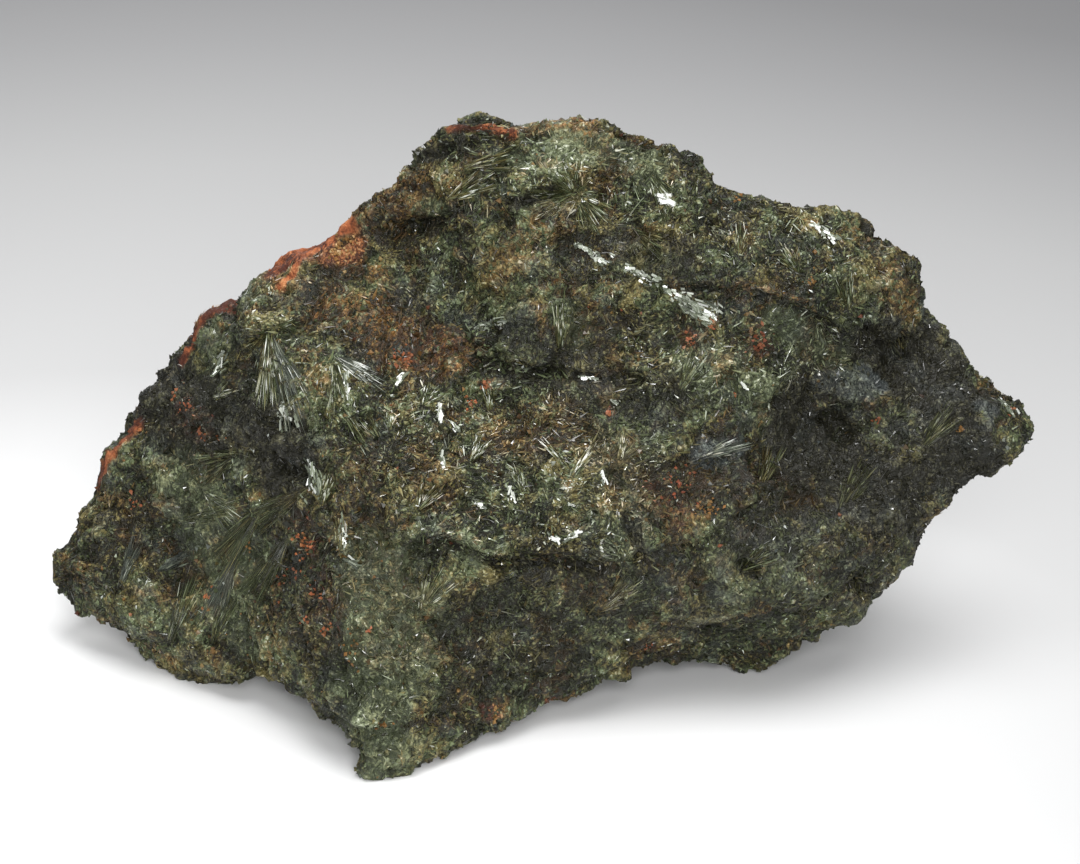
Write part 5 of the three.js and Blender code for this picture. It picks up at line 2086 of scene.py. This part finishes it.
@dataclass(frozen=True)
class StoneFinish:
    """Matted, glinting ground of small blades, duller and dustier where it is crusted.

    Args:
        group: the stone's colours.
        blades: the matted blades.
        long, short: the tufts to a metre, blades across a tuft and slimness of two mattings.
        grain, fleck, stir: how fine the grain, flecks and crust are, in turns to a metre.
        relief: the height of the bump, in metres.
        specular: how bright its reflections are.
    """

    group: bpy.types.NodeTree
    blades: bpy.types.NodeTree
    name: str = "stone_ground"
    long: tuple[float, float, float] = (330.0, 9.0, 0.28)
    short: tuple[float, float, float] = (620.0, 6.0, 0.5)
    grain: float = 3600.0
    fleck: float = 1500.0
    stir: float = 420.0
    relief: float = 0.00016
    specular: float = 0.35

    def matting(
        self, board: NodeBoard, place: Socket, sizes: tuple[float, float, float]
    ) -> bpy.types.NodeOutputs:
        """Lays the matted blades at one scale.

        Args:
            board: the material's nodes.
            place: where on the stone, in metres.
            sizes: the tufts to a metre, the blades across a tuft and their slimness.

        Returns:
            The blade group's outputs.
        """
        mat = board.add("ShaderNodeGroup", node_tree=self.blades)
        for name, value in zip(("Vector", "Tufts", "Blades", "Slim"), (place, *sizes), strict=True):
            board.feed(value, mat.inputs[name])
        return mat.outputs

    def material(self) -> bpy.types.Material:
        """The finish's material, with its colour, roughness and relief."""
        material, board = new_material(self.name)
        place = board.add("ShaderNodeTexCoord").outputs["Object"]
        long = self.matting(board, place, self.long)
        short = self.matting(board, place, self.short)
        grain = board.noise(place, self.grain, 3.0)
        fleck = board.noise(place, self.fleck, 3.0)
        stir = board.total(-0.69, (board.noise(place, self.stir, 5.0), 1.3))
        crust = board.layer("crust")
        open_felt = board.total(0.72, (board.layer("light"), 0.35), (crust, -0.5))
        calm = board.clamped(open_felt)
        # Painted shade: the gaps between the matted blades are darkened in the tone, more so in the
        # painted-light patches; the blades' own tones differ at random.
        blades = board.total(
            board.maths("MULTIPLY", board.maths("POWER", long["Tone"], 2.5), 0.32),
            (board.maths("POWER", short["Tone"], 4.0), 0.5),
            (long["Gap"], 0.2),
            (short["Gap"], 0.15),
            (long["Tuft"], 0.12),
        )
        tone = board.total(
            board.layer("tone"), (blades, calm), (grain, 0.3), (calm, -0.56), (crust, stir)
        )
        warmth = board.total(-1.3, (fleck, 1.8), (short["Hue"], 0.8))
        warmth = board.maths("ADD", warmth, board.layer("warmth"))
        broken = board.clamped(board.total(-1.3, (fleck, 3.0), (short["Hue"], 0.5)))
        colour = board.add("ShaderNodeGroup", node_tree=self.group)
        board.feed(board.maths("ADD", tone, -0.14), colour.inputs["Tone"])
        board.feed(board.clamped(warmth), colour.inputs["Warmth"])
        for stain in STAIN_AND_SHADE_RAMPS:
            strength = board.layer(stain.value)
            if stain in (StainAndPaintedLight.RUST, StainAndPaintedLight.RED):
                strength = board.maths("MULTIPLY", strength, broken)
            board.feed(strength, colour.inputs[stain.name.title()])
        relief = board.total(
            long["Tilt"], (long["Gap"], 0.5), (short["Tilt"], 0.7), (short["Gap"], 0.3)
        )
        height = board.total(board.maths("MULTIPLY", relief, calm), (grain, 0.9))
        bump = board.add(
            "ShaderNodeBump", {"Strength": 1.0, "Distance": self.relief, "Height": height}
        )
        board.surface({
            "Base Color": colour.outputs["Colour"],
            "Roughness": board.total(0.22, (short["Hue"], 0.5), (crust, 0.4)),
            "Specular IOR Level": self.specular,
            "Normal": bump.outputs["Normal"],
        })
        return material


# ---- studio -------------------------------------------------------------------------------------


@dataclass(frozen=True)
class SoftLight:
    """A square light: its place and aim in metres, size and power in watts."""

    name: str
    place: Place
    size: float
    power: float
    aim: Place = (0.0, 0.0, 0.02)

    def build(self) -> None:
        """Adds the light."""
        data = bpy.data.lights.new(self.name, "AREA")
        data.shape = "SQUARE"
        data.size = self.size
        data.energy = self.power
        lamp = linked(self.name, data)
        lamp.location = self.place
        toward = Vector(self.aim) - Vector(self.place)
        lamp.rotation_euler = toward.to_track_quat("-Z", "Y").to_euler()


LIGHTS = (
    SoftLight("overhead", (0.07, -0.03, 0.5), 0.42, 3.0),
    SoftLight("front_fill", (0.04, -0.6, 0.34), 0.28, 3.7),
    SoftLight("back_fill", (-0.15, 0.6, 0.3), 0.4, 1.5),
)


@dataclass(frozen=True)
class Studio:
    """The camera, the lights, the floor with its painted shade and the soft surroundings.

    Args:
        outlook: where the camera is.
        lens, sensor: the camera's lens and the width behind it, in millimetres.
        clip: the nearest and furthest that the camera sees, in metres.
        floor_reach: the floor's radius in metres.
        floor_middle: the place that the floor's painted shade is measured from.
        floor_span: how far from it the last shade lies.
        floor_painted_shade: the floor's colours from the middle out, pale near the stone and
            painted darker further out as a stand-in for the light falling off.
        surround: the colour of the light from all around.
        surround_strength: how bright that light is.
    """

    outlook: Outlook = Outlook(Side.FRONT.value)
    lens: float = 139.3
    sensor: float = 36.0
    clip: tuple[float, float] = (0.01, 20.0)
    floor_reach: float = 3.0
    floor_middle: Place = (-0.04, -0.04, 0.0)
    floor_span: float = 0.3
    floor_painted_shade: Ramp = (
        (0.0, (0.84, 0.84, 0.84)),
        (0.15, (0.82, 0.82, 0.82)),
        (0.37, (0.47, 0.47, 0.47)),
        (0.59, (0.36, 0.36, 0.36)),
        (0.75, (0.25, 0.25, 0.253)),
        (0.85, (0.19, 0.19, 0.193)),
        (1.0, (0.15, 0.15, 0.153)),
    )
    surround: Colour = (0.75, 0.76, 0.78)
    surround_strength: float = 0.4

    def add_camera(self) -> None:
        """Adds the camera that looks at the front."""
        data = bpy.data.cameras.new("camera")
        data.lens = self.lens
        data.sensor_width = self.sensor
        data.clip_start, data.clip_end = self.clip
        camera = linked("camera", data)
        camera.location = self.outlook.eye() * MM
        camera.rotation_euler = (-self.outlook.axes()[2]).to_track_quat("-Z", "Y").to_euler()
        bpy.context.scene.camera = camera

    def add_floor(self) -> None:
        """Adds the floor, pale near the stone and painted darker further out as the light's
        falloff.
        """
        mesh = bpy.data.meshes.new("floor")
        form = bmesh.new()
        bmesh.ops.create_circle(form, cap_ends=True, segments=96, radius=self.floor_reach)
        form.to_mesh(mesh)
        form.free()
        floor = linked("floor", mesh)
        material, board = new_material("pale_floor")
        place = board.add("ShaderNodeTexCoord").outputs["Object"]
        reach = board.vectors("DISTANCE", place, self.floor_middle, out="Value")
        # Painted shade: the floor darkens away from its middle, standing in for the light falling
        # off.
        shade = board.ramp(board.maths("DIVIDE", reach, self.floor_span), self.floor_painted_shade)
        board.surface({"Base Color": shade, "Roughness": 0.6, "Specular IOR Level": 0.2})
        mesh.materials.append(material)

    def add_surround(self) -> None:
        """Adds even light from all around."""
        world = bpy.data.worlds.new("surround")
        world.use_nodes = True
        sky = world.node_tree.nodes["Background"]
        sky.inputs["Color"].default_value = (*self.surround, 1.0)
        sky.inputs["Strength"].default_value = self.surround_strength
        bpy.context.scene.world = world

    def build(self) -> None:
        """Sets the whole studio up."""
        self.add_camera()
        self.add_floor()
        self.add_surround()
        for light in LIGHTS:
            light.build()
        bpy.context.scene.view_settings.view_transform = "Standard"


# ---- the specimen -------------------------------------------------------------------------------


def main() -> None:
    """Builds the studio, the stone's mass, then what grows on it."""
    logging.basicConfig(level=logging.INFO, format="%(name)s %(message)s", stream=sys.stdout)
    Studio().build()
    mass = StoneMass()
    mass.build()
    group = stone_colour_group()
    mass.dress(StoneFinish(group, blade_group()))
    needles = NeedleFinish(group)
    for growth in (*GRAINS, *FELT, SpeckBed(), SprayBed(), LathBed()):
        growth.build(mass)
        growth.dress(needles)


if __name__ == "__main__":
    main()
